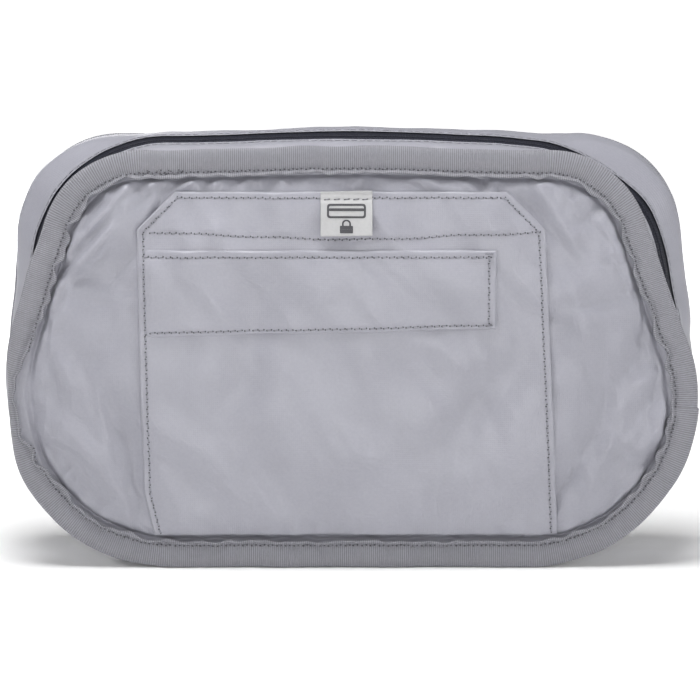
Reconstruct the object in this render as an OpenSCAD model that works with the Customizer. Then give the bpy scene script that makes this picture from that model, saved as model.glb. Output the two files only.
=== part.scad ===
// Money belt: a waist pack turned inside out, standing on its lower edge with its zip closed.
// The lining faces out; the shell fabric, the puller, the belt and its buckle are inside.
// Front is -Y, the floor is Z = 0, and X = 0, Y = 0 is the middle of the pack.
// The front panel folds at fold_z, so the pieces above that line open with the zip.

/* [Front panel] */
// Width over the front binding
front_w = 280; // [274:1:286]
// Height over the front binding
front_h = 168.5; // [166:0.5:172]
// Width over the front binding at its upper corners
front_top_w = 245; // [240:1:250]
// Radius of the front upper corners, over the binding
front_top_r = 42.5; // [40:0.5:45]
// Width over the rear binding
rear_w = 290; // [286:1:294]
// Height over the rear binding
rear_h = 171; // [168:0.5:174]
// Width over the rear binding at its upper corners
rear_top_w = 278; // [272:1:282]
// Radius of the rear upper corners, over the binding
rear_top_r = 43; // [40:0.5:46]
// Radius of all the lower corners, over the binding
low_r = 69; // [67:1:71]
// How far the front panel puffs out
crown = 5; // [3:0.5:5]

/* [Sewing] */
// Width of the binding tape once it is folded over the seam
binding_w = 11; // [10:0.5:12]
// Thickness of the folded binding with the seam inside it
binding_t = 2.4; // [2:0.1:3]
// Distance from the middle of the pack to each bound seam
seam_y = 35; // [34:0.5:36]
// Thickness of the lining and shell fabric
fabric_t = 0.5; // [0.4:0.1:0.5]

/* [Zip] */
// Middle of the zip, front to rear
zip_y = -14; // [-15:0.5:-13]
// Gap between the two lining edges beside the zip
zip_gap = 9; // [8.6:0.1:10]
// Length of the puller below its pin
puller_l = 30; // [24:1:32]

/* [Pockets] */
// Height of the patch pocket's mouth above the floor
pocket_top = 152; // [150:0.5:153]
// Size of the patch pocket's cut corners
pocket_cut = 15; // [12:1:17]
// Height of the card pocket's mouth above the floor
slip_top = 129; // [127:0.5:131]
// Height of the card pocket
slip_h = 33; // [30:1:36]
// Width of the woven label
label_w = 20.4; // [16:0.2:24]
// Length of the woven label below its seam
label_l = 14.2; // [12:0.2:16]

/* [Belt] */
// Width of the belt webbing
belt_w = 25; // [23:1:26]
// Thickness of the belt webbing
belt_t = 1.2; // [1:0.1:1.3]
// Height of the belt's middle above the floor
belt_z = 60; // [58:1:64]
// Number of runs that the folded right belt makes
belt_runs = 6; // [4:2:6]

/* [Hidden] */

lining_grey = [0.66, 0.66, 0.70];
binding_grey = [0.58, 0.58, 0.62];
pocket_grey = [0.69, 0.69, 0.73];
navy = [0.10, 0.11, 0.17];
label_white = [0.88, 0.88, 0.88];
foil_silver = [0.78, 0.78, 0.80];
metal_grey = [0.45, 0.45, 0.48];

// An outline is the belt line round four corner circles, mirrored about X = 0:
// [low corner x, z, radius, high corner x, z, radius, rise of the top edge at its middle].
front_edge = [front_w / 2 - low_r, low_r, low_r, front_top_w / 2 - front_top_r,
              front_h - front_top_r, front_top_r, 0];
rear_edge = [rear_w / 2 - low_r, low_r, low_r, rear_top_w / 2 - rear_top_r,
             rear_h - rear_top_r, rear_top_r, 0];
front_seam = grow(front_edge, -binding_w);
rear_seam = grow(rear_edge, -binding_w);
// The gusset puffs out from the front seam by these amounts at the zip and at its crest
zip_front = front_seam + [1, 0, 4.4, -7, -7.5, 20.5, 1.5];
zip_rear = front_seam + [1, 0, 8.5, -5, -8, 23, 2];
crest = front_seam + [5, -1, 8.5, 12, 1, 14, 2.5];
zip_front_y = zip_y - 6;
zip_rear_y = zip_y + 6;
crest_y = 6;
crest_end_y = 14;
gusset_y = seam_y - binding_t / 2 - 0.2;

// The fold line, and the narrow gap that keeps the two halves apart
fold_z = 88;
fold_gap = 0.2;
upper_z = fold_z + fold_gap;
lower_z = fold_z - fold_gap;
// The front half of the zip starts above the parked slider
parked_top_z = 99;
panel_inset = 0.4;

arc_steps = 9;
flat_steps = 3;
shoulder_steps = 4;
columns = 14;

function mix(a, b, t) = a + (b - a) * t;
function grow(s, d) = [s[0], s[1], s[2] + d, s[3], s[4], s[5] + d, s[6]];

// Angle of the outward normal on the straight side between the two corner circles
function side_angle(s) =
  let (run = [s[3] - s[0], s[4] - s[1]])
  atan2(run[1], run[0]) - acos((s[2] - s[5]) / norm(run));
function low_end(s) = [s[0] + s[2] * cos(side_angle(s)), s[1] + s[2] * sin(side_angle(s))];
function high_start(s) = [s[3] + s[5] * cos(side_angle(s)), s[4] + s[5] * sin(side_angle(s))];
function half_width(s, z) =
  z < low_end(s)[1] ? s[0] + sqrt(max(0, s[2] * s[2] - (z - s[1]) * (z - s[1])))
  : z > high_start(s)[1] ? s[3] + sqrt(max(0, s[5] * s[5] - (z - s[4]) * (z - s[4])))
  : mix(low_end(s), high_start(s), (z - low_end(s)[1]) / (high_start(s)[1] - low_end(s)[1]))[0];

// Right half of an outline, up from the middle of its lower edge to height z
function low_half(s, z) =
  let (last = min(side_angle(s), asin(min(1, (z - s[1]) / s[2]))))
  concat(
    [for (i = [0:flat_steps - 1]) [s[0] * i / flat_steps, s[1] - s[2]]],
    [for (i = [0:arc_steps]) let (a = mix(-90, last, i / arc_steps))
      [s[0] + s[2] * cos(a), s[1] + s[2] * sin(a)]],
    z > low_end(s)[1] + 0.1 ? [[half_width(s, z), z]] : []
  );
// Right half of an outline, up from height z to the middle of its upper edge
function high_half(s, z) =
  concat(
    [[half_width(s, z), z]],
    z < low_end(s)[1] - 0.1 ? [low_end(s)] : [],
    [for (i = [0:arc_steps]) let (a = mix(side_angle(s), 90, i / arc_steps))
      [s[3] + s[5] * cos(a), s[4] + s[5] * sin(a)]],
    [for (i = [flat_steps - 1:-1:0]) let (f = i / flat_steps)
      [s[3] * f, s[4] + s[5] + s[6] * (1 + cos(180 * f)) / 2]]
  );
function reversed(p) = [for (i = [len(p) - 1:-1:0]) p[i]];
function mirrored(p) = [for (q = p) [-q[0], q[1]]];
function tail(p) = [for (i = [1:len(p) - 1]) p[i]];
// Down the left side, along the bottom and up the right side
function low_path(s, z) = concat(reversed(mirrored(low_half(s, z))), tail(low_half(s, z)));
// Up the right side, along the top and down the left side
function high_path(s, z_right, z_left) =
  concat(high_half(s, z_right), tail(reversed(mirrored(high_half(s, z_left)))));

// A gusset row is [y, outline, outward normal across the outline, normal along Y]
function zip_row(y) =
  [y, mix(zip_front, zip_rear, (y - zip_front_y) / (zip_rear_y - zip_front_y)), cos(run_tilt), -sin(run_tilt)];
front_shoulder = [for (i = [0:shoulder_steps]) let (a = 90 * i / shoulder_steps)
  [mix(-gusset_y, zip_front_y, 1 - cos(a)), mix(front_seam, zip_front, sin(a)), sin(a), -cos(a)]];
rear_shoulder = [for (i = [0:shoulder_steps]) let (a = 90 * i / shoulder_steps)
  [mix(crest_end_y, gusset_y, sin(a)), mix(crest, rear_seam, 1 - cos(a)), cos(a), sin(a)]];
crest_row = [crest_y, crest, 1, 0];
function offset_row(row, d) = [row[0] + d * row[3], grow(row[1], d * row[2])];
function lay(path, y) = [for (p = path) [p[0], y, p[1]]];
function low_skin(rows, d) =
  [for (row = rows) let (r = offset_row(row, d)) lay(low_path(r[1], lower_z), r[0])];
function high_skin(rows, d, z_right, z_left) =
  [for (row = rows) let (r = offset_row(row, d)) lay(high_path(r[1], z_right, z_left), r[0])];

// A closed solid between two grids of points, [row][column], with outer on the outside
module grid_solid(outer, inner) {
  rows = len(outer);
  cols = len(outer[0]);
  function at(i, j) = i * cols + j;
  function under(i, j) = rows * cols + i * cols + j;
  function wall(a, b, c, d) = [[a, b, c], [a, c, d]];
  points = concat([for (r = outer) each r], [for (r = inner) each r]);
  faces = concat(
    [for (i = [0:rows - 2], j = [0:cols - 2])
      each wall(at(i, j), at(i, j + 1), at(i + 1, j + 1), at(i + 1, j))],
    [for (i = [0:rows - 2], j = [0:cols - 2])
      each wall(under(i, j), under(i + 1, j), under(i + 1, j + 1), under(i, j + 1))],
    [for (j = [0:cols - 2]) each wall(at(0, j), under(0, j), under(0, j + 1), at(0, j + 1))],
    [for (j = [0:cols - 2])
      each wall(at(rows - 1, j + 1), under(rows - 1, j + 1), under(rows - 1, j), at(rows - 1, j))],
    [for (i = [0:rows - 2]) each wall(at(i + 1, 0), under(i + 1, 0), under(i, 0), at(i, 0))],
    [for (i = [0:rows - 2])
      each wall(at(i, cols - 1), under(i, cols - 1), under(i + 1, cols - 1), at(i + 1, cols - 1))]
  );
  polyhedron(points = points, faces = faces, convexity = 6);
}

// Part of the gusset above the fold, from z_right on the right to z_left on the left
module high_strip(rows, d, thick, z_right = upper_z, z_left = upper_z) {
  grid_solid(high_skin(rows, d, z_right, z_left), high_skin(rows, d - thick, z_right, z_left));
}

// How far a panel with outline s stands out at x, z: full in the middle, none at the seam
function puff(s, x, z) =
  let (top = s[4] + s[5], low = s[1] - s[2])
  let (u = x / half_width(s, z), v = (2 * z - top - low) / (top - low))
  (1 - pow(u, 4)) * (1 - pow(v, 4));
// The rear panel puffs out as far as the pockets on the front one
function stand_out(dir) = dir < 0 ? crown : crown + slip_d;
// Points on a panel at heights zs between left(z) and right(z), d outside its face
function panel_grid(s, dir, zs, left, right, d) =
  [for (z = zs) [for (j = [0:columns]) let (x = mix(left(z), right(z), j / columns))
    [x, dir * (seam_y + d + stand_out(dir) * puff(s, x, z)), z]]];
module panel(s, dir, zs, left, right, d, thick) {
  outer = panel_grid(s, dir, dir < 0 ? reversed(zs) : zs, left, right, d);
  inner = panel_grid(s, dir, dir < 0 ? reversed(zs) : zs, left, right, d - thick);
  grid_solid(outer, inner);
}
// Heights from a to b, closer together towards b
function eased(a, b, n) = [for (i = [0:n]) mix(a, b, sin(90 * i / n))];
function evenly(a, b, n) = [for (i = [0:n]) mix(a, b, i / n)];
inset_front = grow(front_seam, -panel_inset);
inset_rear = grow(rear_seam, -panel_inset);
front_low_z = inset_front[1] - inset_front[2];
front_high_z = inset_front[4] + inset_front[5];
front_left = function (z) -half_width(inset_front, z);
front_right = function (z) half_width(inset_front, z);
upper_heights = eased(upper_z, front_high_z, 9);
lower_heights = reversed(eased(lower_z, front_low_z, 9));

// The patch pocket leans a little: its cut corners sit to the left of its foot
pocket_cut_z = pocket_top - pocket_cut;
pocket_foot_z = front_low_z + 2;
pocket_left = function (z)
  z > pocket_cut_z ? z - pocket_cut_z - 84.8
  : mix(-80.2, -84.8, (z - pocket_foot_z) / (pocket_cut_z - pocket_foot_z));
pocket_right = function (z)
  z > pocket_cut_z ? 77.6 - (z - pocket_cut_z)
  : mix(83.5, 77.6, (z - pocket_foot_z) / (pocket_cut_z - pocket_foot_z));
liner_in = 3;
liner_left = function (z) pocket_left(z) + liner_in;
liner_right = function (z) pocket_right(z) - liner_in;
slip_left = function (z) pocket_left(z) + 1;
slip_right = function (z) 58.2;
label_left = function (z) -1.4 - label_w / 2;
label_right = function (z) -1.4 + label_w / 2;

// Layers on the front panel: how far each one's outer face stands off the lining
shell_d = -0.8;
liner_d = 0.5;
pocket_d = 1.2;
slip_d = 1.9;
label_d = 2.1;
label_seam_z = 149;

module front_lining_upper() {
  color(lining_grey) panel(front_seam, -1, upper_heights, front_left, front_right, 0, fabric_t);
}
module front_lining_lower() {
  color(lining_grey) panel(front_seam, -1, lower_heights, front_left, front_right, 0, fabric_t);
}
module front_shell_upper() {
  color(navy) panel(front_seam, -1, upper_heights, front_left, front_right, shell_d, fabric_t);
}
module front_shell_lower() {
  color(navy) panel(front_seam, -1, lower_heights, front_left, front_right, shell_d, fabric_t);
}
module patch_pocket_upper() {
  heights = concat(evenly(upper_z, pocket_cut_z, 4), tail(evenly(pocket_cut_z, pocket_top, 2)));
  color(pocket_grey) panel(front_seam, -1, heights, pocket_left, pocket_right, pocket_d, fabric_t);
}
module patch_pocket_lower() {
  heights = reversed(eased(lower_z, pocket_foot_z, 6));
  color(pocket_grey) panel(front_seam, -1, heights, pocket_left, pocket_right, pocket_d, fabric_t);
}
module shield_liner_upper() {
  heights = evenly(upper_z, pocket_cut_z, 4);
  color(foil_silver) panel(front_seam, -1, heights, liner_left, liner_right, liner_d, 0.3);
}
module shield_liner_lower() {
  heights = reversed(eased(lower_z, pocket_foot_z + liner_in, 6));
  color(foil_silver) panel(front_seam, -1, heights, liner_left, liner_right, liner_d, 0.3);
}
module card_slip_pocket() {
  heights = evenly(slip_top - slip_h, slip_top, 4);
  color(pocket_grey) panel(front_seam, -1, heights, slip_left, slip_right, slip_d, fabric_t);
}
module woven_label() {
  heights = evenly(label_seam_z - label_l, label_seam_z, 2);
  color(label_white) panel(front_seam, -1, heights, label_left, label_right, label_d, 0.6);
}
module rear_lining() {
  color(lining_grey) rear_panel(0);
}
module rear_shell() {
  color(navy) rear_panel(shell_d);
}
module rear_panel(d) {
  low_z = inset_rear[1] - inset_rear[2];
  high_z = inset_rear[4] + inset_rear[5];
  heights = concat(reversed(eased(fold_z, low_z, 9)), tail(eased(fold_z, high_z, 9)));
  left = function (z) -half_width(inset_rear, z);
  right = function (z) half_width(inset_rear, z);
  panel(rear_seam, 1, heights, left, right, d, fabric_t);
}

// The bound seams are flat rings with one flat lower edge each, which the pack stands on
module binding(y, ring) {
  color(binding_grey) translate([0, y + binding_t / 2, 0]) rotate([90, 0, 0])
    linear_extrude(binding_t) polygon(ring);
}
module front_binding_upper() {
  outer = high_path(front_edge, upper_z, upper_z);
  inner = high_path(front_seam, upper_z, upper_z);
  binding(-seam_y, concat(outer, reversed(inner)));
}
module front_binding_lower() {
  binding(-seam_y, concat(low_path(front_edge, lower_z), reversed(low_path(front_seam, lower_z))));
}
module rear_binding() {
  outer = concat(low_path(rear_edge, fold_z), tail(high_path(rear_edge, fold_z + 1, fold_z + 1)));
  inner = concat(low_path(rear_seam, fold_z), tail(high_path(rear_seam, fold_z + 1, fold_z + 1)));
  color(binding_grey) translate([0, seam_y + binding_t / 2, 0]) rotate([90, 0, 0])
    linear_extrude(binding_t) difference() {
      polygon(outer);
      polygon(inner);
    }
}

module bottom_gusset() {
  rows = concat(front_shoulder, [zip_row(zip_rear_y), crest_row], rear_shoulder);
  color(lining_grey) grid_solid(low_skin(rows, 0), low_skin(rows, -fabric_t));
}
module zip_strip_front() {
  color(lining_grey)
    high_strip(concat(front_shoulder, [zip_row(zip_y - zip_gap / 2)]), 0, fabric_t);
}
module zip_strip_rear() {
  rows = concat([zip_row(zip_y + zip_gap / 2), zip_row(zip_rear_y), crest_row], rear_shoulder);
  color(lining_grey) high_strip(rows, 0, fabric_t);
}

// The zip lies under the lining edges: two tapes, and two coils below them with a slot between
tape_d = -0.7;
tape_t = 0.5;
tape_hidden = 6.4;
coil_d = -1.3;
coil_t = 1.2;
coil_w = 1.9;
slot_w = 1;
module zip_tape_front() {
  rows = [zip_row(zip_y - tape_hidden), zip_row(zip_y - slot_w / 2)];
  color(navy) high_strip(rows, tape_d, tape_t, upper_z, parked_top_z);
}
module zip_tape_rear() {
  rows = [zip_row(zip_y + slot_w / 2), zip_row(zip_y + tape_hidden)];
  color(navy) high_strip(rows, tape_d, tape_t);
}
module zip_coil_front() {
  rows = [zip_row(zip_y - slot_w / 2 - coil_w), zip_row(zip_y - slot_w / 2)];
  color(navy) high_strip(rows, coil_d, coil_t, upper_z, parked_top_z);
}
module zip_coil_rear() {
  rows = [zip_row(zip_y + slot_w / 2), zip_row(zip_y + slot_w / 2 + coil_w)];
  color(navy) high_strip(rows, coil_d, coil_t);
}

// The frame of the straight left run: x up the run, y rearwards across the zip, z outwards
run_mid = mix(zip_front, zip_rear, 0.5);
run_normal = side_angle(run_mid);
run_tilt = atan(zip_rise() / (zip_rear_y - zip_front_y));
function zip_rise() =
  (low_end(zip_rear) - low_end(zip_front)) * [cos(run_normal), sin(run_normal)];
slider_z = 93.2;
slider_l = 9.6;
slider_w = 8;
plate_t = 1;
outer_plate_d = -0.35;
inner_plate_d = -2.8;
bridge_gap = 2.6;
pin_d = inner_plate_d - plate_t - bridge_gap / 2;
pin_r = 0.8;
module on_left_run(z, d) {
  translate([-half_width(run_mid, z), zip_y, z])
    rotate([0, run_normal - 90, 0]) rotate([run_tilt, 0, 0]) translate([0, 0, d]) children();
}
module plate(l, w, t, r) {
  linear_extrude(t) {
    square([l - 2 * r, w], center = true);
    square([l, w - 2 * r], center = true);
    for (x = [r - l / 2, l / 2 - r], y = [r - w / 2, w / 2 - r])
      translate([x, y]) circle(r, $fn = 32);
  }
}
module zip_slider() {
  bridge_w = 2;
  bridge_t = 0.8;
  post_x = 3.1;
  color(metal_grey) on_left_run(slider_z, 0) {
    translate([0, 0, outer_plate_d]) plate(slider_l, slider_w, plate_t, 2);
    translate([0, 0, inner_plate_d - plate_t]) plate(slider_l, slider_w, plate_t, 2);
    translate([1.4, -0.25, inner_plate_d - 0.1])
      cube([slider_l / 2 - 2, 0.5, outer_plate_d - inner_plate_d + 0.2]);
    for (x = [-post_x, post_x])
      translate([x, 0, inner_plate_d - plate_t - bridge_gap / 2])
        cube([bridge_t, bridge_w, bridge_gap + 0.2], center = true);
    translate([0, 0, inner_plate_d - plate_t - bridge_gap - bridge_t / 2])
      cube([2 * post_x + bridge_t, bridge_w, bridge_t], center = true);
  }
}
module zip_puller() {
  hang = run_normal * cos(run_tilt);
  arm_l = 9;
  arm_gap = 3.2;
  pull_w = 6.4;
  pull_t = 1.6;
  color(metal_grey) on_left_run(slider_z, pin_d) rotate([0, -hang, 0]) {
    rotate([90, 0, 0]) cylinder(h = pull_w - 0.4, r = pin_r, center = true, $fn = 32);
    for (side = [-1, 1])
      translate([-arm_l / 2, side * (pull_w + arm_gap) / 4, 0])
        cube([arm_l + 2 * pin_r, (pull_w - arm_gap) / 2, pull_t], center = true);
    translate([-(arm_l + puller_l) / 2, 0, -pull_t / 2])
      plate(puller_l - arm_l + 1, pull_w, pull_t, 1.5);
  }
}

// Folded fabric that closes each end of the zip, inside the gusset
module zip_end_tab(side) {
  rows = [zip_row(zip_y - tape_hidden), zip_row(zip_y + tape_hidden)];
  tab_low_z = 80;
  function edge(row, z, d) = let (r = offset_row(row, d)) [side * half_width(r[1], z), r[0], z];
  function sheet(d) = [for (row = side < 0 ? reversed(rows) : rows)
    [for (z = [tab_low_z, lower_z]) edge(row, z, d)]];
  color(navy) grid_solid(sheet(tape_d), sheet(tape_d - 1));
}
module zip_end_tab_left() zip_end_tab(-1);
module zip_end_tab_right() zip_end_tab(1);

// The belt: each webbing is a thin ribbon through the plan points, extruded to the belt's width
function heading(a, b) = (b - a) / norm(b - a);
function square_to(v) = [-v[1], v[0]];
function ribbon_side(p, t) =
  [for (i = [0:len(p) - 1])
    let (a = i > 0 ? heading(p[i - 1], p[i]) : heading(p[0], p[1]))
    let (b = i < len(p) - 1 ? heading(p[i], p[i + 1]) : a)
    let (m = square_to(a) + square_to(b))
    p[i] + m * t / (m * m)];
module webbing(path) {
  color(navy) translate([0, 0, belt_z - belt_w / 2])
    linear_extrude(belt_w) polygon(concat(ribbon_side(path, belt_t), reversed(ribbon_side(path, -belt_t))));
}
// Half turn from the plan point [x, y] to [x, y - drop], bulging towards dir
function half_turn(x, y, drop, dir) =
  [for (a = [90:-30:-90]) [x + dir * drop / 2 * cos(a), y - drop / 2 + drop / 2 * sin(a)]];
buckle_x = -10;
buckle_y = 15;
buckle_h = 34;
buckle_t = 8;
buckle_wall = 1.7;
bar_r = 1.5;
socket_l = 24;
slot_gap = 3.2;
loop_r = bar_r + 0.2 + belt_t / 2;
socket_bar_x = buckle_x - socket_l - slot_gap - bar_r;
prong_bar_x = buckle_x + 10.2;
belt_y = 29.2;
belt_pitch = 1.8;
hank_x = [34, 116];
anchor_x = 126;
module belt_webbing_left() {
  webbing(concat(
    [[-anchor_x, belt_y], [-112, belt_y], [-62, buckle_y + 4.6], [-50, buckle_y + loop_r]],
    half_turn(socket_bar_x, buckle_y + loop_r, 2 * loop_r, 1),
    [[-46, buckle_y - loop_r], [-55, buckle_y + 0.4], [-66, buckle_y + 2]]
  ));
}
module belt_webbing_right() {
  turns = [for (i = [1:belt_runs - 1])
    each half_turn(hank_x[i % 2 == 1 ? 0 : 1], belt_y - (i - 1) * belt_pitch, belt_pitch,
                   i % 2 == 1 ? -1 : 1)];
  last_y = belt_y - (belt_runs - 1) * belt_pitch;
  webbing(concat([[anchor_x, belt_y]], turns, [[hank_x[1] - 4, last_y]]));
}
module adjuster_webbing() {
  webbing(concat(
    [[prong_bar_x + 92, buckle_y + loop_r]],
    half_turn(prong_bar_x, buckle_y + loop_r, 2 * loop_r, -1),
    [[prong_bar_x + 70, buckle_y - loop_r]]
  ));
}
// Elastic loop round the folded belt
module webbing_keeper() {
  keeper_w = 12;
  keeper_t = 1;
  hank_y = [belt_y - (belt_runs - 1) * belt_pitch - belt_t / 2 - 0.3, belt_y + belt_t / 2 + 0.3];
  hank_z = belt_w + 0.6;
  color(navy) translate([72, 0, belt_z]) rotate([0, 90, 0]) linear_extrude(keeper_w)
    difference() {
      translate([-hank_z / 2 - keeper_t, hank_y[0] - keeper_t])
        square([hank_z + 2 * keeper_t, hank_y[1] - hank_y[0] + 2 * keeper_t]);
      translate([-hank_z / 2, hank_y[0]]) square([hank_z, hank_y[1] - hank_y[0]]);
    }
}
// Shell fabric tab that joins the belt to the rear seam
module belt_anchor(side) {
  root_h = 32;
  root_x = side * (half_width(rear_seam, belt_z - root_h / 2) - 1.2);
  tip_x = side * (anchor_x - 12);
  color(navy) translate([0, belt_y + 3.2, belt_z]) rotate([90, 0, 0]) linear_extrude(2)
    polygon([[root_x, -root_h / 2], [root_x, root_h / 2], [tip_x, belt_w / 2], [tip_x, -belt_w / 2]]);
}
module belt_anchor_left() belt_anchor(-1);
module belt_anchor_right() belt_anchor(1);

// A bar for webbing, held by two cheeks off the end of a buckle half
module webbing_bar(x, reach) {
  cheek = 3;
  translate([x, buckle_y, belt_z]) cylinder(h = buckle_h, r = bar_r, center = true, $fn = 32);
  for (side = [-1, 1])
    translate([x + reach / 2, buckle_y, belt_z + side * (buckle_h - cheek) / 2])
      cube([abs(reach) + 0.2, 2 * bar_r, cheek], center = true);
}
module buckle_socket() {
  mouth_t = buckle_t - 2 * buckle_wall;
  color(navy) {
    difference() {
      translate([buckle_x - socket_l, buckle_y - buckle_t / 2, belt_z - buckle_h / 2])
        cube([socket_l, buckle_t, buckle_h]);
      translate([buckle_x - socket_l + 2.4, buckle_y - mouth_t / 2, belt_z - buckle_h / 2 + 3])
        cube([socket_l, mouth_t, buckle_h - 6]);
    }
    webbing_bar(socket_bar_x, bar_r + slot_gap + 0.1);
  }
}
module buckle_prongs() {
  prong_t = buckle_t - 2 * buckle_wall - 0.8;
  prong_l = 20;
  prong_w = 4;
  base_l = 5;
  prong_z = buckle_h / 2 - 3 - 0.6 - prong_w / 2;
  color(navy) {
    translate([buckle_x + 0.5, buckle_y - buckle_t / 2 + 0.5, belt_z - buckle_h / 2])
      cube([base_l, buckle_t - 1, buckle_h]);
    for (side = [-1, 1])
      translate([buckle_x + 1 - prong_l / 2, buckle_y, belt_z + side * prong_z])
        cube([prong_l, prong_t, prong_w], center = true);
    translate([buckle_x + 1 - prong_l / 2, buckle_y, belt_z]) cube([prong_l, prong_t, 3], center = true);
    webbing_bar(prong_bar_x, -(prong_bar_x - buckle_x - base_l));
  }
}

front_lining_upper();
front_shell_upper();
patch_pocket_upper();
shield_liner_upper();
card_slip_pocket();
front_binding_upper();
zip_strip_front();
zip_tape_front();
zip_coil_front();
woven_label();
front_lining_lower();
front_shell_lower();
patch_pocket_lower();
shield_liner_lower();
front_binding_lower();
bottom_gusset();
zip_strip_rear();
zip_tape_rear();
zip_coil_rear();
rear_lining();
rear_shell();
rear_binding();
zip_end_tab_left();
zip_end_tab_right();
belt_anchor_left();
belt_anchor_right();
belt_webbing_left();
belt_webbing_right();
webbing_keeper();
buckle_socket();
zip_slider();
zip_puller();
buckle_prongs();
adjuster_webbing();
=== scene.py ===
"""Looks of the money belt: a waist pack turned inside out, standing on its lower edge, zip closed.

Lengths are in millimetres until a mesh is made. Front is -Y, and the pack's middle is X = 0, Y = 0.
"""
import math

import bmesh
import bpy
import numpy as np
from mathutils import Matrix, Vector
from mathutils.bvhtree import BVHTree


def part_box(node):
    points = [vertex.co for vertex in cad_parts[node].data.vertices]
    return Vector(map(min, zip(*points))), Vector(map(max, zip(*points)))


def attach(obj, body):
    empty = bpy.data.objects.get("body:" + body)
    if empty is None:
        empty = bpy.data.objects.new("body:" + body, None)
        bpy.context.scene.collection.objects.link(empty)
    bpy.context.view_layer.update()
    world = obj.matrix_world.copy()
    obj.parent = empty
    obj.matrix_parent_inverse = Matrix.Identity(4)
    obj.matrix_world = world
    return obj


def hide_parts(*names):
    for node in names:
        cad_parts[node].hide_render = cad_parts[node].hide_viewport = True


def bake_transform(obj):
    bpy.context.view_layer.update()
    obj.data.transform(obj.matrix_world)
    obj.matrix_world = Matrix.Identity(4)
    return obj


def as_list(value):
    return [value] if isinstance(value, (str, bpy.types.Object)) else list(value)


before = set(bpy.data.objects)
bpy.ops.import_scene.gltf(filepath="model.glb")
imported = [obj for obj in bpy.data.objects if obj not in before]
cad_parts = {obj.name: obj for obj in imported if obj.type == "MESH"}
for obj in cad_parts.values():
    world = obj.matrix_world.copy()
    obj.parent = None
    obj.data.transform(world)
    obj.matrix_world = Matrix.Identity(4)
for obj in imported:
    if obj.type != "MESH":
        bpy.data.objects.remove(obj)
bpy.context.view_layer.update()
MM = 0.001

# ---------------------------------------------------------------- camera

FRONT_W = 280.0
CAMERA_DISTANCE = 1300.0
CAMERA_ELEVATION = 7.0
AIM = np.array([0.0, -36.0, 88.4])


def make_camera():
    data = bpy.data.cameras.new("camera")
    data.sensor_width = 36.0
    data.lens = data.sensor_width * CAMERA_DISTANCE / FRONT_W
    data.clip_start, data.clip_end = 0.05, 100.0
    cam = bpy.data.objects.new("camera", data)
    bpy.context.collection.objects.link(cam)
    tip = math.radians(CAMERA_ELEVATION)
    back = np.array([0.0, -math.cos(tip), math.sin(tip)])
    cam.location = (AIM + back * CAMERA_DISTANCE) * MM
    cam.rotation_euler = (math.pi / 2 - tip, 0.0, 0.0)
    bpy.context.scene.camera = cam


make_camera()

# ---------------------------------------------------------------- outlines

SEAM_Y = 35.0
BINDING_W = 11.0
ZIP_Y = -14.0
ZIP_GAP = 9.0
FOLD_Z = 88.0
# Share of half the outline's length at which each stretch ends: lower edge, corner, side, corner
BREAKS = (0.184, 0.522, 0.655, 0.792)


def outline(width, height, top_width, low_r, top_r):
    """[low corner x, z, radius, high corner x, z, radius, rise of the top edge at its middle]"""
    return np.array([width / 2 - low_r, low_r, low_r, top_width / 2 - top_r, height - top_r, top_r, 0.0])


def grow(s, d):
    return s + np.array([0, 0, d, 0, 0, d, 0.0])


def mix(a, b, t):
    return a + (b - a) * t


def smoothstep(t):
    t = np.clip(t, 0, 1)
    return t * t * (3 - 2 * t)


FRONT_EDGE = outline(280, 168.5, 245, 69, 42.5) + np.array([0, 0, 0, 0, 0, 0, 1.8])
REAR_EDGE = outline(290, 171, 278, 69, 43)
FRONT_SEAM = grow(FRONT_EDGE, -BINDING_W)
REAR_SEAM = grow(REAR_EDGE, -BINDING_W)
ZIP_FRONT = FRONT_SEAM + np.array([1, 0, 4.4, -7, -7.5, 20.5, -0.3])
ZIP_REAR = FRONT_SEAM + np.array([1, 0, 8.5, -5, -8, 23, 0.2])
CREST = FRONT_SEAM + np.array([5, -1, 8.5, 12, 1, 14, 0.7])
ZIP_FRONT_Y, ZIP_REAR_Y, CREST_Y, CREST_END_Y = ZIP_Y - 6, ZIP_Y + 6, 6.0, 14.0
GUSSET_Y = 33.6


def side_angle(s):
    dx, dz = s[3] - s[0], s[4] - s[1]
    return math.atan2(dz, dx) - math.acos((s[2] - s[5]) / math.hypot(dx, dz))


def half_width(s, z):
    z = np.asarray(z, float)
    a = side_angle(s)
    x1, z1 = s[0] + s[2] * math.cos(a), s[1] + s[2] * math.sin(a)
    x2, z2 = s[3] + s[5] * math.cos(a), s[4] + s[5] * math.sin(a)
    low = s[0] + np.sqrt(np.maximum(0, s[2] ** 2 - (z - s[1]) ** 2))
    high = s[3] + np.sqrt(np.maximum(0, s[5] ** 2 - (z - s[4]) ** 2))
    return np.where(z < z1, low, np.where(z > z2, high, mix(x1, x2, (z - z1) / (z2 - z1))))


def lean(z):
    """The bound front seam leans to the left towards its top"""
    return -2.0 * np.clip((np.asarray(z, float) - 60) / 60, 0, 1)


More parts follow.
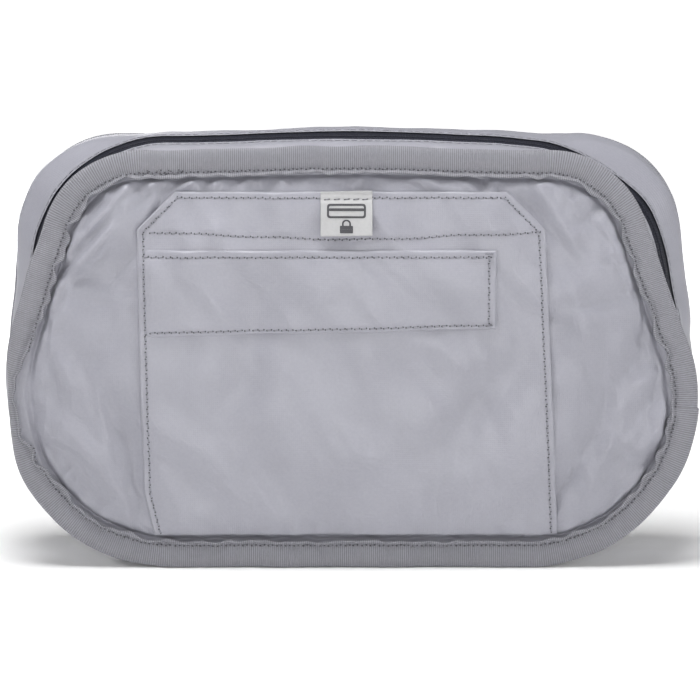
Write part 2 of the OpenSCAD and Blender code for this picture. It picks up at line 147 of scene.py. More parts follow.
def loop_at(s, q):
    """Points and outward normals (x, z) on outline s: q runs from 0, the middle of the lower edge,
    up the right side to 0.5, the middle of the top, and down the left side to 1."""
    q = np.mod(np.asarray(q, float), 1.0)
    side = np.where(q <= 0.5, 1.0, -1.0)
    u = np.where(q <= 0.5, 2 * q, 2 * (1 - q))
    b0, b1, b2, b3 = BREAKS
    a = side_angle(s)
    low = mix(-math.pi / 2, a, np.clip((u - b0) / (b1 - b0), 0, 1))
    high = mix(a, math.pi / 2, np.clip((u - b2) / (b3 - b2), 0, 1))
    on_low = u <= b1
    angle = np.where(on_low, low, np.where(u < b2, a, high))
    x = np.where(on_low, s[0] * np.clip(u / b0, 0, 1), s[3] * np.clip((1 - u) / (1 - b3), 0, 1))
    x = x + np.where(on_low, s[2], s[5]) * np.cos(angle)
    z = np.where(on_low, s[1] + s[2] * np.sin(angle), s[4] + s[5] * np.sin(angle))
    t = np.clip((u - b1) / (b2 - b1), 0, 1)
    run = (u > b1) & (u < b2)
    x = np.where(run, mix(s[0] + s[2] * math.cos(a), s[3] + s[5] * math.cos(a), t), x)
    z = np.where(run, mix(s[1] + s[2] * math.sin(a), s[4] + s[5] * math.sin(a), t), z)
    f = np.clip((1 - u) / (1 - b3), 0, 1)
    z = z + np.where(u > b3, s[6] * (1 + np.cos(math.pi * f)) / 2, 0)
    return np.stack([side * x, z], -1), np.stack([side * np.cos(angle), np.sin(angle)], -1)


def split_u(s):
    """Place of the fold line on the straight side of outline s"""
    a = side_angle(s)
    z1, z2 = s[1] + s[2] * math.sin(a), s[4] + s[5] * math.sin(a)
    return mix(BREAKS[1], BREAKS[2], (FOLD_Z - z1) / (z2 - z1))


# ---------------------------------------------------------------- meshes


def ripple(points, wavelength, seed, count=14):
    """Smooth noise from -1 to 1 with about that wavelength, at points of any dimension"""
    points = np.asarray(points, float)
    draw = np.random.default_rng(seed)
    k = draw.normal(size=(points.shape[-1], count))
    k = k / np.linalg.norm(k, axis=0) * 2 * math.pi / (wavelength * draw.uniform(0.7, 1.5, count))
    total = np.sin(points @ k + draw.uniform(0, 2 * math.pi, count)).sum(-1)
    return total / math.sqrt(count / 2) * 0.6


def crumple(points, wavelength, seed):
    """Shallow dents with sharper ridges between them"""
    return 0.4 - np.sqrt(ripple(points, wavelength, seed) ** 2 + 0.03)


def make_mesh(name, points, faces, material, uv=None):
    mesh = bpy.data.meshes.new(name)
    mesh.from_pydata([tuple(p) for p in np.asarray(points) * MM], [], [tuple(map(int, f)) for f in faces])
    mesh.polygons.foreach_set("use_smooth", [True] * len(mesh.polygons))
    if uv is not None:
        layer = mesh.uv_layers.new(name="UVMap")
        index = np.empty(len(mesh.loops), int)
        mesh.loops.foreach_get("vertex_index", index)
        layer.data.foreach_set("uv", np.asarray(uv, np.float32)[index].ravel())
    mesh.update()
    obj = bpy.data.objects.new(name, mesh)
    bpy.context.collection.objects.link(obj)
    if material is not None:
        mesh.materials.append(material)
    return obj


def grid_faces(rows, cols, flip=False):
    faces = []
    for i in range(rows - 1):
        for j in range(cols - 1):
            f = (i * cols + j, i * cols + j + 1, (i + 1) * cols + j + 1, (i + 1) * cols + j)
            faces.append(f[::-1] if flip else f)
    return faces


def make_grid(name, points, material, uv=None, flip=False):
    rows, cols = points.shape[:2]
    uv = None if uv is None else uv.reshape(-1, 2)
    return make_mesh(name, points.reshape(-1, 3), grid_faces(rows, cols, flip), material, uv)


def lattice(u, v):
    """Texture coordinates of a grid whose columns lie at u and whose rows lie at v"""
    return np.stack(np.broadcast_arrays(np.asarray(u)[None, :], np.asarray(v)[:, None]), -1)


def lengths_along(points):
    """Running length along the first axis of an array of points"""
    steps = np.linalg.norm(np.diff(points, axis=0), axis=-1)
    return np.concatenate([[0], np.cumsum(steps)])


def at_lengths(path, along, places):
    """Points of a path at the given places on its running length along"""
    return np.stack([np.interp(places, along, column) for column in np.asarray(path).T], -1)


def refine(obj):
    """Applies one Catmull-Clark subdivision"""
    mod = obj.modifiers.new("smooth", "SUBSURF")
    mod.levels = 1
    apply_modifiers(obj)


def apply_modifiers(obj):
    graph = bpy.context.evaluated_depsgraph_get()
    mesh = bpy.data.meshes.new_from_object(obj.evaluated_get(graph))
    obj.modifiers.clear()
    old = obj.data
    obj.data = mesh
    bpy.data.meshes.remove(old)


def coords(obj):
    co = np.empty(len(obj.data.vertices) * 3)
    obj.data.vertices.foreach_get("co", co)
    return co.reshape(-1, 3) / MM


def set_coords(obj, points):
    obj.data.vertices.foreach_set("co", (np.asarray(points) * MM).ravel())
    obj.data.update()


def simulate(obj, pinned, pressure, slack, frames):
    """Runs Blender's cloth on obj with the pinned points held, and keeps the result"""
    group = obj.vertex_groups.new(name="pinned")
    group.add([int(i) for i in np.flatnonzero(pinned)], 1.0, "REPLACE")
    cloth = obj.modifiers.new("cloth", "CLOTH")
    s = cloth.settings
    s.quality = 5
    s.mass = 0.1
    s.air_damping = 3
    s.tension_stiffness = s.compression_stiffness = 25
    s.shear_stiffness = 10
    s.bending_stiffness = 0.15
    s.vertex_group_mass = "pinned"
    s.use_pressure = True
    s.uniform_pressure_force = pressure
    s.shrink_min = -slack
    s.effector_weights.gravity = 0
    cloth.point_cache.frame_end = frames
    for f in range(1, frames + 1):
        bpy.context.scene.frame_set(f)
    apply_modifiers(obj)
    bpy.context.scene.frame_set(1)


# ---------------------------------------------------------------- materials


class Nodes:
    """Short hand for building a material's nodes"""

    def __init__(self, name):
        self.material = bpy.data.materials.new(name)
        self.material.use_nodes = True
        self.tree = self.material.node_tree
        self.shader = self.tree.nodes["Principled BSDF"]

    def add(self, kind, **values):
        node = self.tree.nodes.new("ShaderNode" + kind)
        for key, value in values.items():
            if hasattr(node, key):
                setattr(node, key, value)
            else:
                node.inputs[key.replace("_", " ")].default_value = value
        return node

    def link(self, a, b):
        self.tree.links.new(a, b)

    def math(self, operation, a, b=None):
        node = self.add("Math", operation=operation)
        for socket, value in zip(node.inputs, (a, b)):
            if value is None:
                continue
            if isinstance(value, (int, float)):
                socket.default_value = value
            else:
                self.link(value, socket)
        return node.outputs[0]

    def uv(self):
        parts = self.add("SeparateXYZ")
        self.link(self.add("UVMap", uv_map="UVMap").outputs[0], parts.inputs[0])
        return parts.outputs[0], parts.outputs[1]

    def wave(self, coordinate, pitch):
        """0 to 1 and back every pitch, in the coordinate's units"""
        turned = self.math("SINE", self.math("MULTIPLY", coordinate, 2 * math.pi / pitch))
        return self.math("ADD", self.math("MULTIPLY", turned, 0.5), 0.5)

    def noise(self, scale, detail=3.0):
        node = self.add("TexNoise", Scale=scale, Detail=detail)
        self.link(self.add("TexCoord").outputs["Object"], node.inputs["Vector"])
        return node.outputs[0]

    def colours(self, factor, stops):
        ramp = self.add("ValToRGB")
        while len(ramp.color_ramp.elements) < len(stops):
            ramp.color_ramp.elements.new(0.5)
        for element, (at, colour) in zip(ramp.color_ramp.elements, stops):
            element.position = at
            element.color = (*colour, 1)
        self.link(factor, ramp.inputs[0])
        return ramp.outputs[0]

    def bump(self, height, distance):
        node = self.add("Bump", Strength=1.0, Distance=distance)
        self.link(height, node.inputs["Height"])
        self.link(node.outputs[0], self.shader.inputs["Normal"])

    def paint(self, factor, stops):
        self.link(self.colours(factor, stops), self.shader.inputs["Base Color"])

    def set(self, **values):
        for key, value in values.items():
            self.shader.inputs[key.replace("_", " ")].default_value = value


def shade(colour, factor):
    return tuple(c * factor for c in colour)


def taffeta(name, colour, pitch=0.8, sheen=0.06, rough=0.4, bump=0.00004):
    """Fine plain weave with a soft shine and slightly uneven dye"""
    n = Nodes(name)
    u, v = n.uv()
    weave = n.math("MULTIPLY", n.wave(u, pitch), n.wave(v, pitch))
    cloudy = n.noise(28.0)
    fine = n.noise(900.0, 2.0)
    tone = n.math("ADD", n.math("MULTIPLY", cloudy, 0.6), n.math("MULTIPLY", fine, 0.4))
    n.paint(tone, [(0.3, shade(colour, 0.93)), (0.7, shade(colour, 1.06))])
    n.link(n.math("ADD", n.math("MULTIPLY", fine, 0.16), rough - 0.08), n.shader.inputs["Roughness"])
    n.bump(n.math("ADD", weave, n.math("MULTIPLY", fine, 0.8)), bump)
    n.set(Sheen_Weight=sheen, Sheen_Roughness=0.4, Specular_IOR_Level=0.5)
    return n.material


def grosgrain(name, colour, pitch, sheen=0.1):
    """Ribbed tape: ribs lie across it, so they repeat along U"""
    n = Nodes(name)
    u, v = n.uv()
    rib = n.wave(u, pitch)
    thread = n.wave(v, 0.4)
    fine = n.noise(700.0, 2.0)
    # Painted shade and light: the tape's colour is darker in the grooves between the ribs and lighter on
    # their crests, following the wave of the bump, mixed with random tone
    tone = n.math("ADD", n.math("MULTIPLY", rib, 0.7), n.math("MULTIPLY", fine, 0.3))
    n.paint(tone, [(0.1, shade(colour, 0.62)), (0.5, colour), (0.95, shade(colour, 1.18))])
    n.bump(n.math("ADD", rib, n.math("MULTIPLY", thread, 0.12)), 0.00012)
    n.set(Roughness=0.6, Sheen_Weight=sheen, Sheen_Roughness=0.5, Specular_IOR_Level=0.3)
    return n.material


def twill(name, colour):
    """Diagonal weave of webbing, turned over every quarter of its width"""
    n = Nodes(name)
    u, v = n.uv()
    fold = n.math("PINGPONG", v, 3.1)
    rib = n.wave(n.math("ADD", u, fold), 1.6)
    fine = n.noise(600.0, 2.0)
    # Painted shade and light: the webbing's colour is darker between the twill ribs and lighter on them,
    # following the wave of the bump, mixed with random tone
    tone = n.math("ADD", n.math("MULTIPLY", rib, 0.7), n.math("MULTIPLY", fine, 0.3))
    n.paint(tone, [(0.2, shade(colour, 0.55)), (0.8, shade(colour, 1.5))])
    n.bump(rib, 0.00025)
    n.set(Roughness=0.62, Sheen_Weight=0.2, Specular_IOR_Level=0.35)
    return n.material


def plain(name, colour, rough, metal=0.0, worn=None):
    """Moulded or cast surface with a fine grain; worn is the colour of its rubbed places"""
    n = Nodes(name)
    fine = n.noise(900.0, 4.0)
    patches = n.noise(120.0, 3.0)
    n.paint(patches, [(0.45, colour), (0.75, worn or shade(colour, 1.2))])
    n.link(n.math("ADD", n.math("MULTIPLY", fine, 0.2), rough - 0.1), n.shader.inputs["Roughness"])
    n.bump(fine, 0.00003)
    n.set(Metallic=metal)
    return n.material


def thread(name, colour, ends):
    """Twisted thread whose ends, past that distance from the middle of a stitch, dive into their holes and
    are painted dark there as painted shade; its twist is painted lighter and darker too
    """
    n = Nodes(name)
    u, v = n.uv()
    off = n.math("ABSOLUTE", u)
    twist = n.wave(n.math("ADD", u, v), 0.45)
    # Painted shade: past ends the thread is painted nearly black, as shade in its holes, and the twist is
    # painted lighter and darker along with its bump
    hole_shade = n.math("GREATER_THAN", off, ends)
    lit = n.math("ADD", n.math("MULTIPLY", twist, 0.3), 0.6)
    tone = n.math("SUBTRACT", lit, n.math("MULTIPLY", hole_shade, 0.6))
    n.paint(tone, [(0.0, shade(colour, 0.12)), (0.5, shade(colour, 0.85)), (0.9, shade(colour, 1.1))])
    n.bump(twist, 0.00005)
    n.set(Roughness=0.6, Specular_IOR_Level=0.3)
    return n.material


LINING = taffeta("lining_fabric", (0.295, 0.295, 0.335))
POCKET = taffeta("pocket_fabric", (0.31, 0.31, 0.35))
SHELL = taffeta("shell_fabric", (0.020, 0.023, 0.042), sheen=0.15, bump=0.00009)
BINDING = grosgrain("binding_tape", (0.235, 0.235, 0.26), pitch=0.78)
ZIP_TAPE = grosgrain("zip_tape", (0.010, 0.011, 0.021), pitch=1.1, sheen=0.0)
COIL = plain("zip_coil", (0.014, 0.015, 0.026), 0.45)
# The last number of each thread is the distance past which painted shade of its holes begins
THREAD = thread("thread", (0.20, 0.20, 0.225), 0.55)
LINING_THREAD = thread("lining_thread", (0.28, 0.28, 0.31), 1.15)
PALE_THREAD = thread("pale_thread", (0.26, 0.26, 0.29), 0.75)
WEBBING = twill("webbing", (0.022, 0.024, 0.04))
BUCKLE = plain("buckle_plastic", (0.018, 0.018, 0.02), 0.42)
METAL = plain("slider_metal", (0.07, 0.07, 0.08), 0.38, metal=0.6, worn=(0.28, 0.28, 0.29))
FOIL = taffeta("shield_foil", (0.55, 0.55, 0.57), sheen=0.0, rough=0.35)
LABEL = taffeta("label_weave", (0.43, 0.43, 0.435), pitch=0.45, sheen=0.02, bump=0.0001)
LABEL_INK = taffeta("label_threads", (0.055, 0.055, 0.062), pitch=0.45, sheen=0.1)

# ---------------------------------------------------------------- riding with the frame


def on_panel(obj, slot, *nodes):
    """Fabric of the front panel and its zip, whose upper part opens on the real pack: here it is only fixed
    in place, and the CAD nodes it stands for are hidden
    """
    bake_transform(obj)
    finish_piece(obj, slot, nodes)


def on_body(obj, body, slot, *nodes):
    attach(obj, body)
    finish_piece(obj, slot, nodes)


def on_pack(obj, slot, *nodes):
    on_body(obj, "pack", slot, *nodes)


def finish_piece(obj, slot, nodes):
    if nodes:
        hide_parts(*nodes)


# ---------------------------------------------------------------- puffed panels

ALLOWANCE = 6.5


def seam_place(s, points):
    """For points (x, z): how far each lies inside outline s, negative outside it, and its place along s"""
    ring, normal = loop_at(s, np.linspace(0, 1, 900, endpoint=False))
    along = lengths_along(ring)
    small = ring.astype(np.float32)
    near = np.empty(len(points), int)
    for first in range(0, len(points), 4000):
        part = points[first:first + 4000].astype(np.float32)
        dx, dz = part[:, :1] - small[:, 0], part[:, 1:] - small[:, 1]
        near[first:first + 4000] = np.argmin(dx ** 2 + dz ** 2, axis=1)
    return -((points - ring[near]) * normal[near]).sum(-1), along[near]


def creases(points, folds):
    """Rounded creases, each (x0, z0, x1, z1, height, half width), fading towards their ends"""
    total = np.zeros(len(points))
    for x0, z0, x1, z1, height, wide in folds:
        a, run = np.array([x0, z0]), np.array([x1 - x0, z1 - z0])
        t = np.clip(((points - a) @ run) / (run @ run), 0, 1)
        off = np.linalg.norm(points - a - t[:, None] * run, axis=1)
        total += height * np.exp(-((off / wide) ** 2)) * np.sin(math.pi * np.clip(t, 0.04, 0.96)) ** 0.6
    return total


def gathers(along, inside, seed):
    """Small folds that run in from the seam, closer together in some places than in others"""
    spread = along[:, None] + 3.0 * ripple(np.stack([along, inside], -1), 22, seed)[:, None]
    fine = ripple(spread, 9, seed + 1)
    strength = np.clip(0.5 + 0.6 * ripple(along[:, None], 55, seed + 2), 0.12, 1.1)
    reach = np.clip(10 + 6 * ripple(along[:, None], 24, seed + 3), 5, 20)
    return fine * strength * np.exp(-np.maximum(inside, 0) / reach)


def blurred(grid, sigma):
    """Gaussian blur of a 2D array"""
    reach = int(3 * sigma)
    kernel = np.exp(-np.arange(-reach, reach + 1) ** 2 / (2 * sigma ** 2))
    kernel /= kernel.sum()
    padded = np.pad(grid, reach, mode="edge")
    rows = sum(k * padded[i:i + grid.shape[0]] for i, k in enumerate(kernel))
    return sum(k * rows[:, i:i + grid.shape[1]] for i, k in enumerate(kernel))


# Grid of a panel, how far its columns bunch up at the sides, and the way in from the seam to its full height
PANEL_ROWS, PANEL_COLS, BUNCH, DOME_IN = 84, 136, 1.18, 42.0


def puffed_panel(name, seam, facing, puff, seed, folds, shift=None):
    """A lining panel held along its seam and blown out by a cloth simulation. Its wrinkles are kept,
    and its broad swell is brought to puff"""
    rows, cols = PANEL_ROWS, PANEL_COLS
    cut = grow(seam, ALLOWANCE)
    low, high = cut[1] - cut[2], cut[4] + cut[5]
    zs = mix(low, high, 0.5 - 0.5 * np.cos(math.pi * np.linspace(0, 1, rows)))
    x = half_width(cut, zs)[:, None] * np.sin(BUNCH * np.linspace(-1, 1, cols))[None, :] / math.sin(BUNCH)
    z = np.repeat(zs[:, None], cols, 1)
    top = smoothstep((z - cut[4]) / cut[5])
    z = z + cut[6] * top * (1 + np.cos(math.pi * np.clip(x / cut[3], -1, 1))) / 2
    flat = np.stack([x, z], -1).reshape(-1, 2)
    inside, along = seam_place(seam, flat)
    depth = np.clip(inside / 30, 0, 1)
    border = np.clip(1 + inside / 2.5, 0, 1)
    tucks = gathers(along, inside, seed) * border
    start = 1.5 * depth + 0.7 * tucks + 0.5 * ripple(flat, 26, seed + 1) * depth
    points = np.stack([flat[:, 0], facing * (SEAM_Y + start), flat[:, 1]], -1)
    obj = make_grid(name, points.reshape(rows, cols, 3), LINING, flat.reshape(rows, cols, 2), flip=facing > 0)
    simulate(obj, inside < 0.6, 2.0, 0.02, 24)
    p = coords(obj)
    rise = facing * p[:, 1] - SEAM_Y
    swell = blurred(rise.reshape(rows, cols), 5.0).ravel()
    wrinkles = np.clip(1.5 * (rise - swell), -2.2, 2.2)
    wanted = puff * np.clip(inside / DOME_IN, 0, 1) ** 0.46
    broad = 0.35 * (swell - swell.max() * np.clip(inside / DOME_IN, 0, 1) ** 0.55)
    rise = wanted + np.clip(broad, -1.2, 1.2) * depth + wrinkles + 1.4 * creases(flat, folds)
    rise = rise + 1.9 * gathers(along, inside, seed + 5) * np.clip(inside / 2.5, 0, 1)
    rise = rise + (1.1 * crumple(flat, 28, seed + 8) + 0.2 * crumple(flat, 12, seed + 9)) * depth
    crevice = 3.0 * np.exp(-(np.maximum(inside - 0.6, 0) / 0.8) ** 2)
    held = rise * np.clip(inside / 1.8, 0, 1) - crevice * np.clip(inside / 0.3, 0, 1)
    rise = np.where(inside > 0, held, 0.0)
    p[:, 1] = facing * (SEAM_Y + rise)
    if shift is not None:
        p[:, 0] += shift(p[:, 2])
    set_coords(obj, p)
    refine(obj)
    return obj


def cloth(piece, cut, held, rests_on, area=None):
    """Takes a piece of cloth and keeps nothing of it: cut is its flat width and length, and area its flat
    area, which is not used
    """
    tuple(c * MM for c in cut)
    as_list(rests_on)


def panel_cloth(pieces, seam, rests_on):
    ring, _ = loop_at(grow(seam, ALLOWANCE), np.linspace(0, 1, 400, endpoint=False))
    x, z = ring.T
    area = abs(np.sum(x * np.roll(z, -1) - z * np.roll(x, -1))) / 2
    for piece in pieces:
        cloth(piece, tuple(np.ptp(ring, axis=0)), "stretched", rests_on, area)


class Surface:
    """Heights of some pieces in front of the seam plane, on a 1 mm grid"""

    def __init__(self, objects):
        tree = probe_tree(objects)
        self.x0, self.z0 = -146, -2
        xs, zs = np.arange(self.x0, 147), np.arange(self.z0, 176)
        self.grid = np.zeros((len(zs), len(xs)))
        for i, z in enumerate(zs):
            for j, x in enumerate(xs):
                hit = tree.ray_cast((x * MM, -0.2, z * MM), (0, 1, 0))[0]
                self.grid[i, j] = -hit.y / MM - SEAM_Y if hit else 0.0

    def smooth(self, sigma):
        """A blurred copy"""
        other = Surface.__new__(Surface)
        other.x0, other.z0, other.grid = self.x0, self.z0, blurred(self.grid, sigma)
        return other

    def at(self, x, z):
        x, z = np.broadcast_arrays(np.asarray(x, float), np.asarray(z, float))
        i = np.clip(z - self.z0, 0, self.grid.shape[0] - 1.001)
        j = np.clip(x - self.x0, 0, self.grid.shape[1] - 1.001)
        i0, j0 = i.astype(int), j.astype(int)
        a = mix(self.grid[i0, j0], self.grid[i0, j0 + 1], j - j0)
        b = mix(self.grid[i0 + 1, j0], self.grid[i0 + 1, j0 + 1], j - j0)
        return mix(a, b, i - i0)


def probe_tree(objects):
    points, faces = [], []
    for obj in objects:
        first = len(points)
        points += [v.co.copy() for v in obj.data.vertices]
        faces += [tuple(first + i for i in f.vertices) for f in obj.data.polygons]
    return BVHTree.FromPolygons(points, faces)


# ---------------------------------------------------------------- stitches


def capsules(name, centre, along, normal, size, material):
    """Small rounded bars, size = (length, width, height), one at each centre"""
    centre, along, normal = (np.asarray(v, float) for v in (centre, along, normal))
    along = along / np.linalg.norm(along, axis=1, keepdims=True)
    across = np.cross(normal, along)
    across /= np.linalg.norm(across, axis=1, keepdims=True)
    up = np.cross(along, across)
    around = np.linspace(0, 2 * math.pi, 8, endpoint=False)
    shape = [(-0.5, 0, 0)]
    for place, thick in ((-0.46, 0.75), (-0.3, 1.0), (0.3, 1.0), (0.46, 0.75)):
        shape += [(place, 0.5 * thick * math.cos(a), 0.5 * thick * math.sin(a)) for a in around]
    shape += [(0.5, 0, 0)]
    shape = np.array(shape) * np.array(size)
    points = centre[:, None, :] + sum(
        shape[None, :, k, None] * axis[:, None, :] for k, axis in enumerate((along, across, up)))
    faces, n = [], len(around)
    one = [(0, 1 + (k + 1) % n, 1 + k) for k in range(n)]
    for ring in range(3):
        a, b = 1 + ring * n, 1 + (ring + 1) * n
        one += [(a + k, a + (k + 1) % n, b + (k + 1) % n, b + k) for k in range(n)]
    last = 1 + 3 * n
    one += [(4 * n + 1, last + k, last + (k + 1) % n) for k in range(n)]
    for c in range(len(centre)):
        base = c * len(shape)
        faces += [tuple(base + i for i in f) for f in one]
    uv = np.tile(shape[:, :2], (len(centre), 1))
    return make_mesh(name, points.reshape(-1, 3), faces, material, uv)


def walk(path, pitch, seed=0):
    """Places every pitch along a path of points, with small shifts, and the path's direction there"""
    path = np.asarray(path, float)
    along = lengths_along(path)
    count = max(2, int(along[-1] / pitch))
    places = (np.arange(count) + 0.5) * along[-1] / count
    places = places + np.random.default_rng(seed).uniform(-0.08, 0.08, count) * pitch
    ahead, behind = at_lengths(path, along, places + 0.5), at_lengths(path, along, places - 0.5)
    return at_lengths(path, along, places), ahead - behind


SLANT = 0.16


def stitches_on(name, tree, facing, path, material, pitch=3.2, size=(2.3, 0.5, 0.45), seed=0):
    """A row of stitches laid on whatever the tree holds, along a path of (x, z)"""
    spots, ways = walk(path, pitch, seed)
    centre, along, normal = [], [], []
    for (x, z), way in zip(spots, ways):
        hit, face_normal, _, _ = tree.ray_cast((x * MM, facing * 0.2, z * MM), (0, -facing, 0))
        if hit is None:
            continue
        n = np.array(face_normal)
        n = n if n[1] * facing > 0 else -n
        t = np.array([way[0], 0.0, way[1]])
        t = t - n * (t @ n)
        centre.append(np.array(hit) / MM + 0.12 * n)
        along.append(t + SLANT * np.cross(n, t))
        normal.append(n)
    return capsules(name, centre, along, normal, size, material)


# ---------------------------------------------------------------- pieces sewn on the front

# Across an edge: (distance in from it, share of the piece's thickness)
ROLLED_EDGE = ((0.3, -0.5), (0.0, 0.1), (0.05, 0.55), (0.4, 0.9), (1.1, 1.0))


def patch(name, under, left, right, low, high, lift, material, rows, cols, relief, breaks=()):
    """A flat piece on the front, from left(z) to right(z), with rolled edges.
    relief(x, z) adds to its height"""
    insets = np.array([e[0] for e in ROLLED_EDGE])
    shares = np.array([e[1] for e in ROLLED_EDGE])
    middle = np.unique(np.concatenate([np.linspace(low + 2.2, high - 2.2, rows), breaks]))
    zs = np.concatenate([low + insets, middle, (high - insets)[::-1]])
    share_z = np.concatenate([shares, np.ones(len(middle)), shares[::-1]])
    t = np.linspace(0, 1, cols)
    share_x = np.concatenate([shares, np.ones(cols), shares[::-1]])
    points, uv = [], []
    for z, sz in zip(zs, share_z):
        a, b = left(z), right(z)
        x = np.concatenate([a + insets, mix(a + 2.0, b - 2.0, t), (b - insets)[::-1]])
        share = np.minimum(share_x, sz)
        base = under.at(x, np.full_like(x, z))
        height = base + lift * share + relief(x, np.full_like(x, z)) * np.clip(share, 0, 1)
        points.append(np.stack([x, -(SEAM_Y + height), np.full_like(x, z)], -1))
        uv.append(np.stack([x, np.full_like(x, z)], -1))
    return make_grid(name, np.array(points), material, np.array(uv))


def groove(distance, depth=0.4, wide=1.0):
    return -depth * np.exp(-((distance / wide) ** 2))


# ---------------------------------------------------------------- front panel and pockets

POCKET_TOP, POCKET_CUT, POCKET_FOOT, POCKET_KINK, POCKET_W = 152.0, 15.0, 13.4, 31.0, 164.0
SLIP_TOP, SLIP_FOOT, SLIP_RIGHT = 129.0, 96.0, 58.2
LABEL_X, LABEL_W, LABEL_TOP, LABEL_SEAM, LABEL_FOOT = -1.4, 20.6, 152.3, 149.0, 134.8

# Creases in the lining: x, z of each end, height and half width
FRONT_FOLDS = (
    (-82, 158, -112, 126, 2.4, 2.4),
    (-89, 140, -120, 108, 2.6, 2.8),
    (-87, 149, -114, 118, -1.6, 2.6),
    (-70, 159, -96, 140, 1.8, 2.2),
    (-62, 159, -90, 146, -1.4, 2.4),
    (-56, 159, -68, 152, 1.6, 1.6),
    (-47, 159, -54, 153, 1.3, 1.4),
    (-36, 159, -40, 154, 1.0, 1.5),
    (-97, 150, -104, 146, -1.5, 2.0),
    (-114, 128, -119, 122, -1.4, 2.2),
    (28, 159, 40, 153, 1.2, 1.8),
    (44, 160, 60, 154, -1.3, 2.2),
    (76, 156, 95, 124, 2.2, 3.2),
    (70, 152, 84, 132, -1.5, 3.6),
    (62, 111, 86, 97, -2.0, 3.0),
    (56, 114, 66, 101, 1.8, 2.2),
    (86, 124, 98, 92, 1.6, 4.5),
    (100, 142, 118, 110, 1.4, 4.0),
    (-126, 98, -98, 62, 1.7, 5.0),
    (-116, 64, -90, 30, 1.8, 4.5),
    (-92, 62, -84, 24, -1.2, 4.0),
    (-122, 80, -104, 52, -1.2, 4.0),
    (114, 72, 94, 34, 1.6, 4.5),
    (124, 100, 102, 66, -1.5, 5.0),
    (-44, 74, -10, 30, 1.3, 8.0),
    (20, 84, 66, 62, -1.0, 9.0),
)
REAR_FOLDS = (
    (-96, 150, -60, 118, 1.0, 5.0),
    (100, 148, 70, 112, 1.1, 5.0),
    (-110, 40, -70, 62, 0.9, 6.0),
    (112, 44, 76, 60, 0.9, 6.0),
    (-30, 30, 36, 34, 0.8, 6.0),
    (-20, 150, 40, 146, -0.7, 5.0),
)


def pocket_left(z):
    if z > POCKET_TOP - POCKET_CUT:
        return z - (POCKET_TOP - POCKET_CUT) - 84.8
    if z > POCKET_KINK:
        return mix(-82.8, -84.8, (z - POCKET_KINK) / (POCKET_TOP - POCKET_CUT - POCKET_KINK))
    return mix(-78.6, -82.8, (z - POCKET_FOOT) / (POCKET_KINK - POCKET_FOOT))


def pocket_right(z):
    if z > POCKET_TOP - POCKET_CUT:
        return 77.6 - (z - (POCKET_TOP - POCKET_CUT))
    return mix(83.5, 77.6, (z - POCKET_FOOT) / (POCKET_TOP - POCKET_CUT - POCKET_FOOT))


def pocket_side(x, z):
    """Distance in from the pocket's nearer side or cut corner"""
    left = np.vectorize(pocket_left)(z)
    right = np.vectorize(pocket_right)(z)
    lean = np.where(z > POCKET_TOP - POCKET_CUT, math.sqrt(0.5), 1.0)
    return np.minimum(x - left, right - x) * lean


def pocket_path(inset, z0, z1, side):
    edge = pocket_left if side < 0 else pocket_right
    zs = (z0, POCKET_KINK, POCKET_TOP - POCKET_CUT - inset * 0.4, z1)
    shift = (inset, inset, inset, inset * 1.4)
    return [(edge(z) - side * s, z) for z, s in zip(zs, shift)]


def front_panel():
    lining = puffed_panel("front_lining", FRONT_SEAM, -1, 6.2, 3, FRONT_FOLDS, lean)
    on_panel(lining, "lining_fabric", "front_lining_lower", "front_lining_upper")
    inner = inner_layer(lining, "front_shell", FRONT_SEAM, 1)
    on_panel(inner, "shell_fabric", "front_shell_lower", "front_shell_upper")
    panel_cloth((lining, inner), FRONT_SEAM, ["front_binding_lower", "front_binding_upper"])
    return lining


def rear_panel():
    lining = puffed_panel("rear_lining_sewn", REAR_SEAM, 1, 7.0, 5, REAR_FOLDS)
    on_pack(lining, "lining_fabric", "rear_lining")
    inner = inner_layer(lining, "rear_shell_sewn", REAR_SEAM, -1)
    on_pack(inner, "shell_fabric", "rear_shell")
    panel_cloth((lining, inner), REAR_SEAM, ["rear_binding"])


def inner_layer(obj, name, seam, way):
    """A copy of a panel on its inner side, in shell fabric"""
    copy = bpy.data.objects.new(name, obj.data.copy())
    bpy.context.collection.objects.link(copy)
    p = coords(copy)
    inside = seam_place(seam, p[:, [0, 2]])[0]
    p[:, 1] += way * mix(0.3, 1.7, smoothstep(inside / 8))
    set_coords(copy, p)
    copy.data.materials.clear()
    copy.data.materials.append(SHELL)
    copy.data.flip_normals()
    return copy


def shield_liner(base):
    liner = patch("shield_liner", base, lambda z: pocket_left(z) + 3, lambda z: pocket_right(z) - 3,
                  POCKET_FOOT + 3, POCKET_TOP - POCKET_CUT, 0.25, FOIL, 40, 50, lambda x, z: 0.0)
    on_panel(liner, "shield_foil", "shield_liner_lower", "shield_liner_upper")
    cloth(liner, (POCKET_W - 6, POCKET_TOP - POCKET_CUT - POCKET_FOOT - 3), "laid", ["front_lining_lower"])


MOUTH_ROW, HEM_ROW = 149.6, 136.2


def hem_z(x):
    """Height of the wavering row that holds the mouth's hem"""
    return HEM_ROW - 3.0 * np.exp(-((x / 52.0) ** 2)) + 0.25 * np.sin(x / 5.5)


